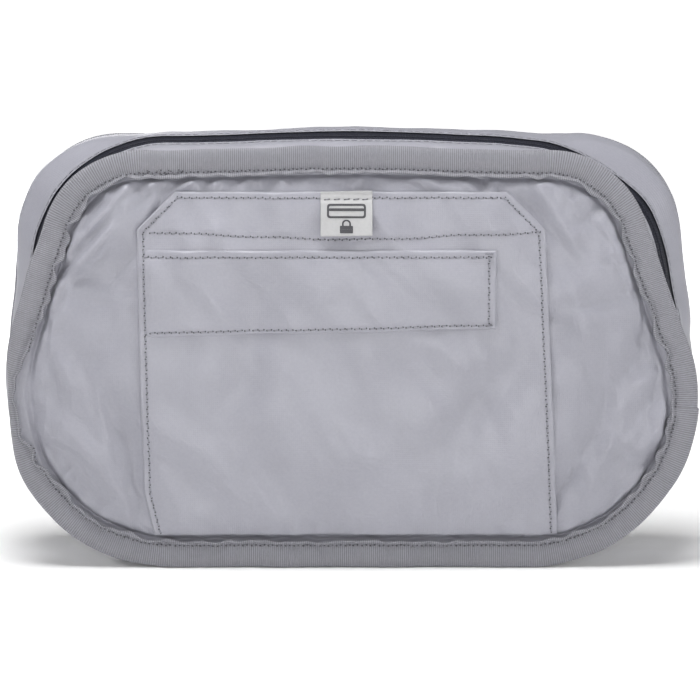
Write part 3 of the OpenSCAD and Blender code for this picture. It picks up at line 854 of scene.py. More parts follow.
def patch_pocket(base):
    """Folded edges stitched down each side, and two rows of stitching under its mouth"""
    def relief(x, z):
        side = pocket_side(x, z)
        flat = np.stack([x, z], -1)
        total = groove(side - 2.6, 0.35) + groove(z - MOUTH_ROW, 0.3) + groove(z - hem_z(x), 0.35, 0.8)
        total = total + 0.5 * np.exp(-np.maximum(POCKET_TOP - z, 0) / 3.0)
        slanted = np.stack([x + 0.6 * z, 0.4 * z], -1)
        total = total + 0.6 * ripple(flat, 38, 21) + 0.3 * ripple(flat, 9, 22) * np.exp(-side / 8)
        hem = np.clip((z - hem_z(x)) / 1.5, 0, 1)
        total = total + 0.25 * hem + 0.5 * ripple(slanted, 20, 23) * hem
        total = total + 0.55 * ripple(slanted, 26, 24) * np.exp(-(((z - 100) / 45) ** 2))
        total = total + 0.16 * np.sin(x * 2.15) * np.exp(-(((z - hem_z(x)) / 1.2) ** 2))
        total = total + 0.8 * crumple(slanted, 24, 25) + 0.14 * crumple(flat, 10, 26)
        return np.logaddexp(total * 4, -2.0) / 4

    pocket = patch("patch_pocket", base, pocket_left, pocket_right, POCKET_FOOT, POCKET_TOP, 1.15, POCKET,
                   90, 96, relief, breaks=(POCKET_TOP - POCKET_CUT,))
    refine(pocket)
    on_panel(pocket, "pocket_fabric", "patch_pocket_lower", "patch_pocket_upper")
    size = (POCKET_W, POCKET_TOP - POCKET_FOOT)
    cloth(pocket, size, "stretched", ["front_lining_lower", "front_lining_upper"])
    return pocket


def pale_rows(rows, tree, seed):
    """Rows of pale stitching through a pocket: each has a name and a path"""
    for k, (name, path) in enumerate(rows.items()):
        row = stitches_on(name, tree, -1, path, PALE_THREAD, 2.9, (2.6, 0.75, 0.5), seed + k)
        on_panel(row, "pocket_fabric")


def pocket_stitches(lining, pocket, slip):
    tree = probe_tree([lining, pocket, slip])
    xs = np.linspace(-80, 76, 80)
    rows = {
        "pocket_stitches_left": pocket_path(2.6, 14, 150, -1),
        "pocket_stitches_right": pocket_path(2.6, 14, 150, 1),
        "pocket_stitches_mouth": [(-69, MOUTH_ROW), (62, MOUTH_ROW)],
        "pocket_stitches_hem": list(zip(xs, hem_z(xs))),
    }
    pale_rows(rows, tree, 30)


def card_slip(pocket, base):
    def left(z):
        return pocket_left(z) + 1.0

    def foot(x):
        """The lower edge runs up a little to the right"""
        return mix(-1.6, 1.6, (x + 84) / 142)

    def relief(x, z):
        flat = np.stack([x, z], -1)
        total = groove(SLIP_TOP - 2.8 - z, 0.35, 0.8) + groove(SLIP_RIGHT - 3.0 - x, 0.3, 0.8)
        total = total + groove(z - SLIP_FOOT - 1.6, 0.3, 0.8) + groove(x - left(110) - 2.2, 0.3, 0.8)
        mouth = np.exp(-np.maximum(SLIP_TOP - z, 0) / 4.0)
        ends = np.clip((x + 84) / 12, 0, 1) * np.clip((SLIP_RIGHT - x) / 12, 0, 1)
        total = total + (0.55 + 0.25 * ripple(flat * [1, 0], 30, 41)) * mouth * ends
        slanted = np.stack([x + 0.7 * z, 0.4 * z], -1)
        total = total + 0.7 * crumple(slanted, 22, 44) + 0.12 * crumple(flat, 9, 45)
        drawn = mix(0.5, 1.6, np.exp(-(x + 84) / 40))
        return total + 0.45 * ripple(flat, 30, 42) + 0.45 * ripple(slanted, 18, 43) * drawn

    slip = patch("card_slip_pocket_sewn", base, left, lambda z: SLIP_RIGHT, SLIP_FOOT, SLIP_TOP, 1.4, POCKET,
                 44, 110, relief)
    p = coords(slip)
    low = np.clip((SLIP_TOP - p[:, 2]) / (SLIP_TOP - SLIP_FOOT), 0, 1)
    p[:, 2] += foot(p[:, 0]) * low
    set_coords(slip, p)
    refine(slip)
    on_panel(slip, "pocket_fabric", "card_slip_pocket")
    size = (SLIP_RIGHT - pocket_left(SLIP_TOP), SLIP_TOP - SLIP_FOOT)
    cloth(slip, size, "stretched", ["patch_pocket_upper"])
    tree = probe_tree([pocket, slip])
    rows = {
        "slip_stitches_mouth": [(-82.5, SLIP_TOP - 2.8), (56.5, SLIP_TOP - 2.8)],
        "slip_stitches_right": [(SLIP_RIGHT - 3.0, SLIP_TOP - 1.5), (SLIP_RIGHT - 3.0, SLIP_FOOT + 3.2)],
        "slip_stitches_foot": [(x, SLIP_FOOT + 1.5 + foot(x)) for x in (-80.0, 56.5)],
    }
    pale_rows(rows, tree, 50)
    for k, z in enumerate((SLIP_TOP - 1.2, SLIP_FOOT + 3.0)):
        tack = [(SLIP_RIGHT - 4.6, z), (SLIP_RIGHT - 1.4, z)]
        row = stitches_on(f"slip_bartack_{k + 1}", tree, -1, tack, THREAD, 0.6, (0.7, 0.4, 1.9), 60 + k)
        on_panel(row, "pocket_fabric")
    return slip


# ---------------------------------------------------------------- label


def label_height(under, x, z):
    """The label's face: sewn down at its top, standing off a little lower down"""
    free = np.clip((LABEL_SEAM - z) / (LABEL_SEAM - LABEL_FOOT), 0, 1)
    curl = 0.5 + 1.5 * free ** 1.3 + 0.25 * free * np.sin((x - LABEL_X) / LABEL_W * 5.0 + 0.6)
    fold = 0.35 * np.exp(-(((z - LABEL_TOP) / 1.0) ** 2))
    return under.at(x, np.minimum(z, POCKET_TOP - 1)) + 1.4 + curl + fold + groove(z - LABEL_SEAM, 0.4, 0.6)


def woven_label(pocket):
    under = Surface([pocket]).smooth(4)
    rows, cols, thick = 34, 44, 0.55
    z = np.linspace(LABEL_FOOT, LABEL_TOP, rows)
    x = np.linspace(LABEL_X - LABEL_W / 2, LABEL_X + LABEL_W / 2, cols)
    xx, zz = np.meshgrid(x, z)
    zz = zz + 0.18 * np.sin((xx - LABEL_X) / LABEL_W * 3.0)
    face = label_height(under, xx, zz)
    back = face - thick
    front = np.stack([xx, -(SEAM_Y + face), zz], -1)
    rear = np.stack([xx, -(SEAM_Y + back), zz], -1)
    label = slab("woven_label_sewn", front, rear, LABEL, np.stack([xx, zz], -1))
    refine(label)
    for piece, nodes in ((label, ("woven_label",)), (label_print(under), ())):
        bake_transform(piece)
        finish_piece(piece, "label_weave", nodes)
    cloth(label, (LABEL_W, LABEL_TOP - LABEL_FOOT), "hung", ["patch_pocket_upper"])
    tree = probe_tree([label])
    row = stitches_on("label_stitches", tree, -1,
                      [(x[0] + 0.8, LABEL_SEAM), (x[-1] - 0.8, LABEL_SEAM)],
                      THREAD, 3.4, (2.6, 0.45, 0.4), 71)
    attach(row, "flap")
    finish_piece(row, "label_weave", ())


def slab(name, outer, inner, material, uv):
    """A closed sheet between two grids with the same rows and columns"""
    rows, cols = outer.shape[:2]
    n = rows * cols
    faces = grid_faces(rows, cols)
    faces += [tuple(n + i for i in f[::-1]) for f in grid_faces(rows, cols)]
    for j in range(cols - 1):
        faces.append((j, n + j, n + j + 1, j + 1))
        k = (rows - 1) * cols + j
        faces.append((k + 1, n + k + 1, n + k, k))
    for i in range(rows - 1):
        k = i * cols
        faces.append((k + cols, n + k + cols, n + k, k))
        k = i * cols + cols - 1
        faces.append((k, n + k, n + k + cols, k + cols))
    points = np.concatenate([outer.reshape(-1, 3), inner.reshape(-1, 3)])
    uvs = np.concatenate([uv.reshape(-1, 2), uv.reshape(-1, 2)])
    return make_mesh(name, points, faces, material, uvs)


def ring_band(outer, inner):
    """Points and faces of the band between two closed lines with the same count of points"""
    n = len(outer)
    points = np.concatenate([outer, inner])
    return points, [(k, (k + 1) % n, n + (k + 1) % n, n + k) for k in range(n)]


def rounded_box(cx, cz, w, h, r, count=64):
    """Closed line of evenly spaced points round a rectangle with rounded corners"""
    line = []
    for qx, qz, a0 in ((1, 1, 0), (-1, 1, 90), (-1, -1, 180), (1, -1, 270)):
        for a in np.radians(a0 + np.linspace(0, 90, 9)):
            line.append((cx + qx * (w / 2 - r) + r * math.cos(a), cz + qz * (h / 2 - r) + r * math.sin(a)))
    line = np.array(line + line[:1])
    along = lengths_along(line)
    places = np.linspace(0, along[-1], count, endpoint=False)
    return at_lengths(line, along, places)


def label_print(under):
    """A plain card outline with a padlock below it, woven into the label"""
    x, z = LABEL_X, 144.6
    shapes = [ring_band(rounded_box(x, z, 15.4, 5.6, 1.1), rounded_box(x, z, 13.8, 4.0, 0.5))]
    for cx, cz, w, h in ((x, z + 0.5, 14.0, 1.1), (x, 137.4, 5.2, 2.9)):
        block = rounded_box(cx, cz, w, h, 0.3)
        core = rounded_box(cx, cz, w - 0.6, h / 3, 0.1)
        shapes += [ring_band(block, core), ring_band(core, core * [1, 0.02] + [0, 0.98 * cz])]
    shapes.append(ring_band(rounded_box(x, 139.4, 3.6, 3.6, 1.6), rounded_box(x, 139.4, 2.2, 2.4, 1.0)))
    points, faces = np.zeros((0, 2)), []
    for more, band in shapes:
        faces += [tuple(len(points) + i for i in f) for f in band]
        points = np.concatenate([points, more])
    y = -(SEAM_Y + label_height(under, points[:, 0], points[:, 1]) + 0.14)
    solid = np.stack([points[:, 0], y, points[:, 1]], -1)
    return make_mesh("label_print", solid, [f[::-1] for f in faces], LABEL_INK, points)


# ---------------------------------------------------------------- binding

# Cross section of the folded tape: out from the seam, and along Y with the front at minus
TAPE = np.array([
    (0.6, -0.3), (-0.1, -0.8), (-0.35, -1.7), (-0.25, -2.6), (0.35, -3.0), (0.9, -2.3), (1.2, -1.4),
    (1.9, -1.2), (2.9, -1.65), (4.6, -1.8), (6.8, -1.8), (9.0, -1.55), (10.5, -0.95), (11.0, 0.0),
    (10.5, 1.0), (9.0, 1.55), (6.8, 1.8), (4.6, 1.8), (2.9, 1.6), (1.9, 1.2), (1.2, 1.35), (0.6, 1.6),
    (0.1, 1.4), (0.1, 0.8), (0.6, 0.3),
])


def tape_points(seam, qs, facing, seed, roll, grow_by):
    """Sweep of the tape's section along outline seam at places qs"""
    base, normal = loop_at(seam, qs)
    along = lengths_along(base)
    strength = mix(0.5, 1.5, smoothstep((np.abs(base[:, 0]) - 70) / 30)) if facing < 0 else 0.45
    scallop = ripple(base, 9, seed) * strength
    wobble = ripple(base, 26, seed + 1)
    pucker = ripple(base, 6.5, seed + 2)
    points = np.empty((len(qs), len(TAPE), 3))
    for k, (r, depth) in enumerate(TAPE):
        inner = 1 - r / BINDING_W
        reach = r + inner ** 2 * (0.8 * scallop + 0.3 * wobble) + (1 - inner) * 0.35 * wobble
        across = depth * (1 + (0.05 + 0.22 * inner ** 4) * pucker + 0.1 * wobble) + np.sign(depth) * grow_by
        across = across + (1 - inner) * 0.5 * ripple(base, 40, seed + 3)
        reach = reach + grow_by * (1 - inner)
        if roll is not None:
            shift, turn = roll(base)
            reach = reach + shift * inner
            turn = turn * np.clip((r - 3) / 8, 0, 1)
            reach, across = reach * np.cos(turn), across * np.cos(turn * 0.6) + r * np.sin(turn)
        if depth > 0.5:
            # The side against the gusset stays clear of the inside
            reach = np.maximum(reach, 0.8)
        z = base[:, 1] + normal[:, 1] * reach
        x = base[:, 0] + normal[:, 0] * reach + (lean(z) if facing < 0 else 0)
        points[:, k] = np.stack([x, facing * (SEAM_Y - across), z], -1)
    points[..., 2] = np.maximum(points[..., 2], 0.15)
    widths = lengths_along(np.column_stack([TAPE, np.zeros(len(TAPE))]))
    uv = np.stack(np.broadcast_arrays(along[:, None], widths[None, :]), -1)
    return points, uv


def tape_piece(name, seam, qs, facing, seed, closed=False, roll=None, grow_by=0.0):
    points, uv = tape_points(seam, qs, facing, seed, roll, grow_by)
    rows, cols = points.shape[:2]
    faces = []
    for i in range(rows if closed else rows - 1):
        a, b = i * cols, ((i + 1) % rows) * cols
        for j in range(cols):
            k = (j + 1) % cols
            faces.append((a + j, a + k, b + k, b + j))
    if not closed:
        faces += [tuple(range(cols))[::-1], tuple((rows - 1) * cols + k for k in range(cols))]
    obj = make_mesh(name, points.reshape(-1, 3), faces, BINDING, uv.reshape(-1, 2))
    refine(obj)
    return obj


def left_roll(base):
    """The front tape is narrow and turns edge-on where the left side bulges"""
    place = np.exp(-(((base[:, 1] - 66) / 21) ** 2)) * (base[:, 0] < 0)
    return 5.0 * place, 0.75 * place


# Binding stitches: pitch, then length, width and height of each
SEAM_PITCH, SEAM_STITCH = 3.4, (2.5, 0.7, 0.5)


def seam_path(seam, qs, reach):
    base, normal = loop_at(seam, qs)
    return base + normal * reach


def front_binding():
    """Two tapes that cross on each side: the lower one lies over the ends of the upper one"""
    # Height at which each tape ends on the left and right sides
    cross_left, cross_right = 52.0, 62.0
    q_low_right = q_at(FRONT_SEAM, cross_right + 4)
    q_low_left = 1 - q_at(FRONT_SEAM, cross_left + 6)
    q_up_right = q_at(FRONT_SEAM, cross_right - 6)
    q_up_left = 1 - q_at(FRONT_SEAM, cross_left - 8)
    lower_qs = np.linspace(q_low_left - 1, q_low_right, 360)
    upper_qs = np.linspace(q_up_right, q_up_left, 400)
    upper = tape_piece("front_binding_upper_sewn", FRONT_SEAM, upper_qs, -1, 81, roll=left_roll)
    lower = tape_piece("front_binding_lower_sewn", FRONT_SEAM, lower_qs, -1, 91, roll=left_roll, grow_by=0.45)
    on_panel(upper, "binding_tape", "front_binding_upper")
    on_pack(lower, "binding_tape", "front_binding_lower")
    for name, piece, qs in (("upper", upper, upper_qs), ("lower", lower, lower_qs)):
        tree = probe_tree([piece])
        path = seam_path(FRONT_SEAM, qs[4:-4], 1.75)
        path[:, 0] += lean(path[:, 1])
        row_name = f"front_binding_stitches_{name}"
        row = stitches_on(row_name, tree, -1, path, THREAD, SEAM_PITCH, SEAM_STITCH, 95)
        if name == "upper":
            on_panel(row, "binding_tape")
            back = path[(path[:, 0] > -84) & (path[:, 0] < -66) & (path[:, 1] > 140)]
            back = back + np.stack([np.zeros(len(back)), 1.1 * np.sin(np.arange(len(back)) * 1.7)], -1)
            tack = stitches_on("front_binding_backtack", tree, -1, back, THREAD, 2.2, (2.2, 0.6, 0.5), 97)
            on_panel(tack, "binding_tape")
        else:
            on_pack(row, "binding_tape")


def q_at(seam, z):
    """Place on the right side of an outline at height z"""
    qs = np.linspace(0, 0.5, 2000)
    heights = loop_at(seam, qs)[0][:, 1]
    return qs[np.argmin(np.abs(heights - z))]


def rear_binding():
    qs = np.linspace(0, 1, 600, endpoint=False)
    tape = tape_piece("rear_binding_sewn", REAR_SEAM, qs, 1, 111, closed=True)
    on_pack(tape, "binding_tape", "rear_binding")
    tree = probe_tree([tape])
    path = seam_path(REAR_SEAM, np.append(qs, 1.0), 1.75)
    for side, name in ((1, "rear"), (-1, "inside")):
        row_name = f"rear_binding_stitches_{name}"
        row = stitches_on(row_name, tree, side, path, THREAD, SEAM_PITCH, SEAM_STITCH, 115)
        on_pack(row, "binding_tape")


# ---------------------------------------------------------------- gusset

# Slope of the gusset across the zip
ZIP_TILT = math.atan2(ZIP_REAR[2] - ZIP_FRONT[2], ZIP_REAR_Y - ZIP_FRONT_Y)


def row(y, section, across, along, lift=0.0):
    """A line round the gusset: its Y, its outline, its outward normal in the outline and along Y"""
    return y, section, across, along, lift


def zip_row(y, lift=0.0):
    section = mix(ZIP_FRONT, ZIP_REAR, (y - ZIP_FRONT_Y) / (ZIP_REAR_Y - ZIP_FRONT_Y))
    return row(y, section, math.cos(ZIP_TILT), -math.sin(ZIP_TILT), lift)


def front_shoulder(steps=7):
    rows = [row(-SEAM_Y + 0.3, grow(FRONT_SEAM, 4.5), 0, -1)]
    for a in np.radians(np.linspace(0, 90, steps + 1)):
        y = mix(-GUSSET_Y, ZIP_FRONT_Y, 1 - math.cos(a))
        rows.append(row(y, mix(FRONT_SEAM, ZIP_FRONT, math.sin(a)), math.sin(a), -math.cos(a)))
    return rows


def rear_shoulder(steps=9):
    rows = []
    for a in np.radians(np.linspace(0, 90, steps + 1)):
        y = mix(CREST_END_Y, GUSSET_Y, math.sin(a))
        rows.append(row(y, mix(CREST, REAR_SEAM, 1 - math.cos(a)), math.cos(a), math.sin(a)))
    return rows + [row(SEAM_Y - 0.2, grow(REAR_SEAM, 4.5), 0, 1)]


def saddle(start):
    """Rows from start, behind the zip, to the gusset's crest"""
    rows = []
    for y in np.linspace(start, CREST_Y, 7)[:-1]:
        t = smoothstep((y - ZIP_REAR_Y) / (CREST_Y - ZIP_REAR_Y))
        flat = mix(ZIP_TILT, 0, t)
        rows.append(row(y, mix(zip_row(min(y, ZIP_REAR_Y))[1], CREST, t), math.cos(flat), -math.sin(flat)))
    return rows + [row(CREST_Y, CREST, 1, 0), row((CREST_Y + CREST_END_Y) / 2, CREST, 1, 0)]


def gusset_point(r, w, part):
    """Point and outward normal on row r. part is low, w from -1 to 1 along the bottom from left to right,
    or high, w from -1 on the left to 1 on the right, over the top"""
    y, section, across, along, lift = r
    split = split_u(section)
    w = np.asarray(w, float)
    u = np.abs(w) * split if part == "low" else 1 - np.abs(w) * (1 - split)
    q = np.where(w >= 0, u / 2, 1 - u / 2)
    spot, out = loop_at(section, q)
    normal = np.stack([out[:, 0] * across, np.full(len(w), along), out[:, 1] * across], -1)
    point = np.stack([spot[:, 0], np.full(len(w), y), spot[:, 1]], -1)
    return point + normal * lift, normal


def fabric_relief(p):
    """Puckers beside the bound seams and broad dents in the gusset"""
    front = np.exp(-np.maximum(p[..., 1] + GUSSET_Y, 0) / 5.0)
    rear = np.exp(-np.maximum(GUSSET_Y - p[..., 1], 0) / 6.0)
    middle = np.clip(1 - front - rear, 0, 1) * mix(1.0, 0.35, smoothstep((p[..., 2] - 140) / 25))
    along = p * np.array([1, 0.25, 1])
    puckers = ripple(along, 9, 201) * 0.9 * front + ripple(along, 11, 202) * 1.0 * rear
    drawn = ripple(p * np.array([1, 0.45, 1]), 24, 203) * 0.9 * middle
    drawn = drawn + crumple(p * np.array([1, 0.45, 1]), 26, 205) * 0.8 * middle
    dents = ripple(p, 60, 204) * 1.0 * middle
    lips = np.exp(-(((p[..., 1] - ZIP_Y) / 13.0) ** 2))
    return (puckers + drawn + dents) * (1 - 0.85 * lips) - 0.3 * front - drawn_corner(p)


DRAWN_MIDDLE, DRAWN_DEPTH, DRAWN_R = np.array([98.0, 160.0]), 4.4, 27.0


def drawn_corner(p):
    """The zip is pulled in at the upper right corner, where its strips close over it"""
    away = np.linalg.norm(p[..., [0, 2]] - DRAWN_MIDDLE, axis=-1)
    across = smoothstep((p[..., 1] + 31) / 8) * smoothstep((14 - p[..., 1]) / 18)
    return DRAWN_DEPTH * np.exp(-((away / DRAWN_R) ** 2)) * across


def gusset_piece(name, rows, part, material=LINING, shift=0.0, facing_in=False, cols=230):
    w = np.linspace(-1, 1, cols)
    points = np.empty((len(rows), cols, 3))
    for k, r in enumerate(rows):
        p, n = gusset_point(r, w, part)
        points[k] = p + n * (fabric_relief(p) + shift * (1 + 0.6 * drawn_corner(p)))[:, None]
    uv = lattice(lengths_along(points[len(rows) // 2]), lengths_along(points[:, cols // 2]))
    return make_grid(name, points, material, uv, flip=(part == "high") != facing_in)


LIP_FRONT, LIP_REAR = ZIP_Y - ZIP_GAP / 2 - 1.3, ZIP_Y + ZIP_GAP / 2 + 1.6


def lip(edge, way):
    """Folded edge beside the zip: a stitched groove, a rounded fold and the part turned under"""
    steps = ((3.4, -0.05), (2.6, -0.2), (2.1, -0.4), (1.6, -0.15), (0.8, 0.0), (0.2, -0.05), (0.0, -0.25),
             (0.3, -0.42), (2.0, -0.46))
    return [zip_row(edge - way * back, lift) for back, lift in steps]


# Length of each gusset strip as cut, and the widths of its lining and of its shell
GUSSET_CUTS = {"zip_strip_front": (400.0, 24.0, 19.0), "zip_strip_rear": (440.0, 50.0, 46.0),
               "bottom_gusset": (440.0, 70.0, 70.0)}


def gusset():
    front = [r for r in front_shoulder() if r[0] < LIP_FRONT - 3.6]
    under_zip = [zip_row(y) for y in (ZIP_Y - 3, ZIP_Y, ZIP_Y + 3)]
    strip_rear = lip(LIP_REAR, -1)[::-1] + saddle(LIP_REAR + 4.4) + rear_shoulder()
    low = front_shoulder() + under_zip + saddle(ZIP_REAR_Y) + rear_shoulder()
    pieces = (
        ("zip_strip_front", front + lip(LIP_FRONT, 1), "high", on_panel),
        ("zip_strip_rear", strip_rear, "high", on_pack),
        ("bottom_gusset", low, "low", on_pack),
    )
    for name, rows, part, place in pieces:
        outer = gusset_piece(name + "_sewn", rows, part)
        refine(outer)
        body_rows = rows if part == "low" else [r for r in rows if r[4] == 0.0]
        inner = gusset_piece(name + "_shell", body_rows, part, SHELL, -0.9, facing_in=True)
        refine(inner)
        length, lining_w, shell_w = GUSSET_CUTS[name]
        cloth(outer, (lining_w, length), "stretched", (name,))
        cloth(inner, (shell_w, length), "stretched", (name,))
        place(outer, "lining_fabric", name)
        place(inner, "shell_fabric")
    for name, y, place in (("front", LIP_FRONT - 2.1, on_panel), ("rear", LIP_REAR + 2.1, on_pack)):
        place(gusset_stitches(f"zip_stitches_{name}", zip_row(y, -0.1)), "lining_fabric")


def gusset_stitches(name, r):
    w = np.linspace(-0.985, 0.985, 900)
    p, n = gusset_point(r, w, "high")
    p = p + n * fabric_relief(p)[:, None]
    both, ways = walk(np.column_stack([p, n]), 3.2, 121)
    return capsules(name, both[:, :3], ways[:, :3], both[:, 3:], (2.4, 0.5, 0.35), LINING_THREAD)


# ---------------------------------------------------------------- zip

SLOT_W, TAPE_HIDDEN = 1.0, 6.4
PARKED_TOP_Z = 99.0


def w_above(r, z):
    """Place on the left of row r's upper part at height z"""
    w = np.linspace(-1, -0.3, 1500)
    return w[np.argmin(np.abs(gusset_point(r, w, "high")[0][:, 2] - z))]


def zip_relief(p):
    return 0.8 * fabric_relief(p) - 0.2 * drawn_corner(p)


def zip_tape(name, near, far, start, end=1.0, cols=230):
    """Woven tape with a corded edge beside the coil"""
    profile = [(near, -0.7), (mix(near, far, 0.12), -0.52), (mix(near, far, 0.25), -0.62), (far, -0.7),
               (far, -1.1), (near, -1.1)]
    w = np.linspace(start, end, cols)
    rows = []
    for y, d in profile + profile[:1]:
        p, n = gusset_point(zip_row(y), w, "high")
        rows.append(p + n * (zip_relief(p)[:, None] + d))
    points = np.array(rows)
    uv = lattice(lengths_along(points[0]), [y for y, _ in profile + profile[:1]])
    tape = make_grid(name, points, ZIP_TAPE, uv)
    close_up(tape)
    return tape


def close_up(obj):
    """Joins coinciding edges, fills open ends and turns every face outwards"""
    bm = bmesh.new()
    bm.from_mesh(obj.data)
    bmesh.ops.remove_doubles(bm, verts=bm.verts, dist=1e-6)
    open_edges = [e for e in bm.edges if e.is_boundary]
    if open_edges:
        bmesh.ops.holes_fill(bm, edges=open_edges, sides=0)
    bmesh.ops.recalc_face_normals(bm, faces=bm.faces)
    bm.to_mesh(obj.data)
    bm.free()


def zip_coil(name, way, start):
    """Teeth on one side of the slot, each reaching a little over its middle"""
    line = zip_row(ZIP_Y + way * 1.15, -1.5)
    w = np.linspace(start, 0.998, 900)
    p, n = gusset_point(line, w, "high")
    p = p + n * zip_relief(p)[:, None]
    along = lengths_along(p)
    shift = 0.35 if way > 0 else 1.05
    places = np.arange(shift, along[-1], 1.4)
    spots, normals = at_lengths(p, along, places), at_lengths(n, along, places)
    across = np.cross(normals, np.gradient(spots, axis=0))
    across /= np.linalg.norm(across, axis=1, keepdims=True)
    return capsules(name, spots, across, normals, (2.7, 0.75, 0.8), COIL)


def zip_fastener():
    parked = w_above(zip_row(ZIP_Y), PARKED_TOP_Z)
    closed_end = -1.0
    front_tape = zip_tape("zip_tape_front_woven", ZIP_Y - SLOT_W / 2, ZIP_Y - TAPE_HIDDEN, parked)
    # Below the parked slider the front tape stays with the pack
    foot = zip_tape("zip_tape_front_foot", ZIP_Y - SLOT_W / 2, ZIP_Y - TAPE_HIDDEN, closed_end, parked, 24)
    on_pack(foot, "zip_tape")
    front_coil = zip_coil("zip_coil_front_teeth", -1, parked)
    on_panel(front_tape, "zip_tape", "zip_tape_front")
    on_panel(front_coil, "zip_coil", "zip_coil_front")
    rear_tape = zip_tape("zip_tape_rear_woven", ZIP_Y + SLOT_W / 2, ZIP_Y + TAPE_HIDDEN, closed_end)
    rear_coil = zip_coil("zip_coil_rear_teeth", 1, closed_end)
    on_pack(rear_tape, "zip_tape", "zip_tape_rear")
    on_pack(rear_coil, "zip_coil", "zip_coil_rear")


# ---------------------------------------------------------------- pieces kept in their CAD shape


def bevelled(node, body, slot, material, width, levels=2):
    """A rounded copy of a CAD node stands for it"""
    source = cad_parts[node]
    obj = bpy.data.objects.new(node + "_finished", source.data.copy())
    bpy.context.collection.objects.link(obj)
    bm = bmesh.new()
    bm.from_mesh(obj.data)
    bmesh.ops.remove_doubles(bm, verts=bm.verts, dist=1e-6)
    bmesh.ops.dissolve_limit(bm, angle_limit=math.radians(1.5), verts=bm.verts, edges=bm.edges)
    bm.to_mesh(obj.data)
    bm.free()
    mod = obj.modifiers.new("bevel", "BEVEL")
    mod.width, mod.segments, mod.limit_method = width * MM, levels, "ANGLE"
    mod.angle_limit = math.radians(35)
    apply_modifiers(obj)
    obj.data.polygons.foreach_set("use_smooth", [True] * len(obj.data.polygons))
    obj.data.set_sharp_from_angle(angle=math.radians(40))
    obj.data.materials.clear()
    obj.data.materials.append(material)
    on_body(obj, body, slot, node)


def hardware():
    bevelled("zip_slider", "slider", "slider_metal", METAL, 0.22)
    bevelled("zip_puller", "puller", "slider_metal", METAL, 0.3)
    bevelled("buckle_socket", "pack", "buckle_plastic", BUCKLE, 0.5, 3)
    bevelled("buckle_prongs", "buckle", "buckle_plastic", BUCKLE, 0.4, 3)


# ---------------------------------------------------------------- belt

BELT_Z, BELT_W, BELT_T, BELT_Y = 60.0, 25.0, 1.2, 29.2
BUCKLE_Y, LOOP_R, SOCKET_BAR_X, PRONG_BAR_X = 15.0, 2.3, -38.7, 0.2
HANK_X, PITCH, RUNS, ANCHOR_X = (34.0, 116.0), 1.8, 6, 126.0


def half_turn(x, y, drop, way):
    return [(x + way * drop / 2 * math.cos(a), y - drop / 2 + drop / 2 * math.sin(a))
            for a in np.radians(np.linspace(90, -90, 9))]


def ribbon(name, plan, body, node):
    """Webbing on its edge, along the plan points (x, y)"""
    plan = np.array(plan, float)
    along = lengths_along(plan)
    places = np.unique(np.concatenate([np.arange(0, along[-1], 1.5), along]))
    line = at_lengths(plan, along, places)
    way = np.gradient(line, axis=0)
    way /= np.linalg.norm(way, axis=1, keepdims=True)
    side = np.stack([-way[:, 1], way[:, 0]], -1)
    half_w, half_t = BELT_W / 2, BELT_T / 2
    # Thickness at each distance in from an edge: a thin edge, a corded border and the body
    border = ((0.0, 0.3), (0.5, 0.9), (1.8, 1.0), (2.6, 0.8))
    section = [(t * half_t, -half_w + inset) for inset, t in border] + [(0.82 * half_t, 0)]
    section += [(t * half_t, half_w - inset) for inset, t in border[::-1]]
    section += [(-t, z) for t, z in section[::-1]]
    points = np.empty((len(section), len(line), 3))
    for k, (t, z) in enumerate(section):
        spot = line + side * t
        points[k] = np.column_stack([spot, np.full(len(line), BELT_Z + z)])
    uv = lattice(places, [z for _, z in section])
    points = np.concatenate([points, points[:1]])
    uv = np.concatenate([uv, uv[:1]])
    belt = make_grid(name, points, WEBBING, uv)
    close_up(belt)
    on_body(belt, body, "webbing", node)
    cloth(belt, (BELT_W, along[-1]), "folded", [node])


def bar_tack(name, x, y, facing, body):
    """Box of zigzag stitching that holds folded webbing"""
    path = np.array([(x + 0.9 * (k % 2), 0, BELT_Z - 9 + 18 * k / 60) for k in range(61)])
    path[:, 1] = y
    ways = np.gradient(path, axis=0)
    normal = np.tile([0.0, facing, 0.0], (len(path), 1))
    tack = capsules(name, path, ways, normal, (0.9, 0.4, 0.4), THREAD)
    on_body(tack, body, "webbing")


def belt():
    left = [(-ANCHOR_X, BELT_Y), (-112, BELT_Y), (-62, BUCKLE_Y + 4.6), (-50, BUCKLE_Y + LOOP_R)]
    left += half_turn(SOCKET_BAR_X, BUCKLE_Y + LOOP_R, 2 * LOOP_R, 1)
    left += [(-46, BUCKLE_Y - LOOP_R), (-55, BUCKLE_Y + 0.4), (-66, BUCKLE_Y + 2)]
    ribbon("belt_webbing_left_woven", left, "pack", "belt_webbing_left")
    right = [(ANCHOR_X, BELT_Y)]
    for k in range(1, RUNS):
        x, way = (HANK_X[0], -1) if k % 2 == 1 else (HANK_X[1], 1)
        right += half_turn(x, BELT_Y - (k - 1) * PITCH, PITCH, way)
    last = BELT_Y - (RUNS - 1) * PITCH
    right.append((HANK_X[1] - 4, last))
    ribbon("belt_webbing_right_woven", right, "pack", "belt_webbing_right")
    tail = [(PRONG_BAR_X + 92, BUCKLE_Y + LOOP_R)]
    tail += half_turn(PRONG_BAR_X, BUCKLE_Y + LOOP_R, 2 * LOOP_R, -1)
    tail += [(PRONG_BAR_X + 70, BUCKLE_Y - LOOP_R)]
    ribbon("adjuster_webbing_woven", tail, "buckle", "adjuster_webbing")
    bar_tack("belt_tack_left", -60.0, BUCKLE_Y + 0.4, -1, "pack")
    keeper(last)


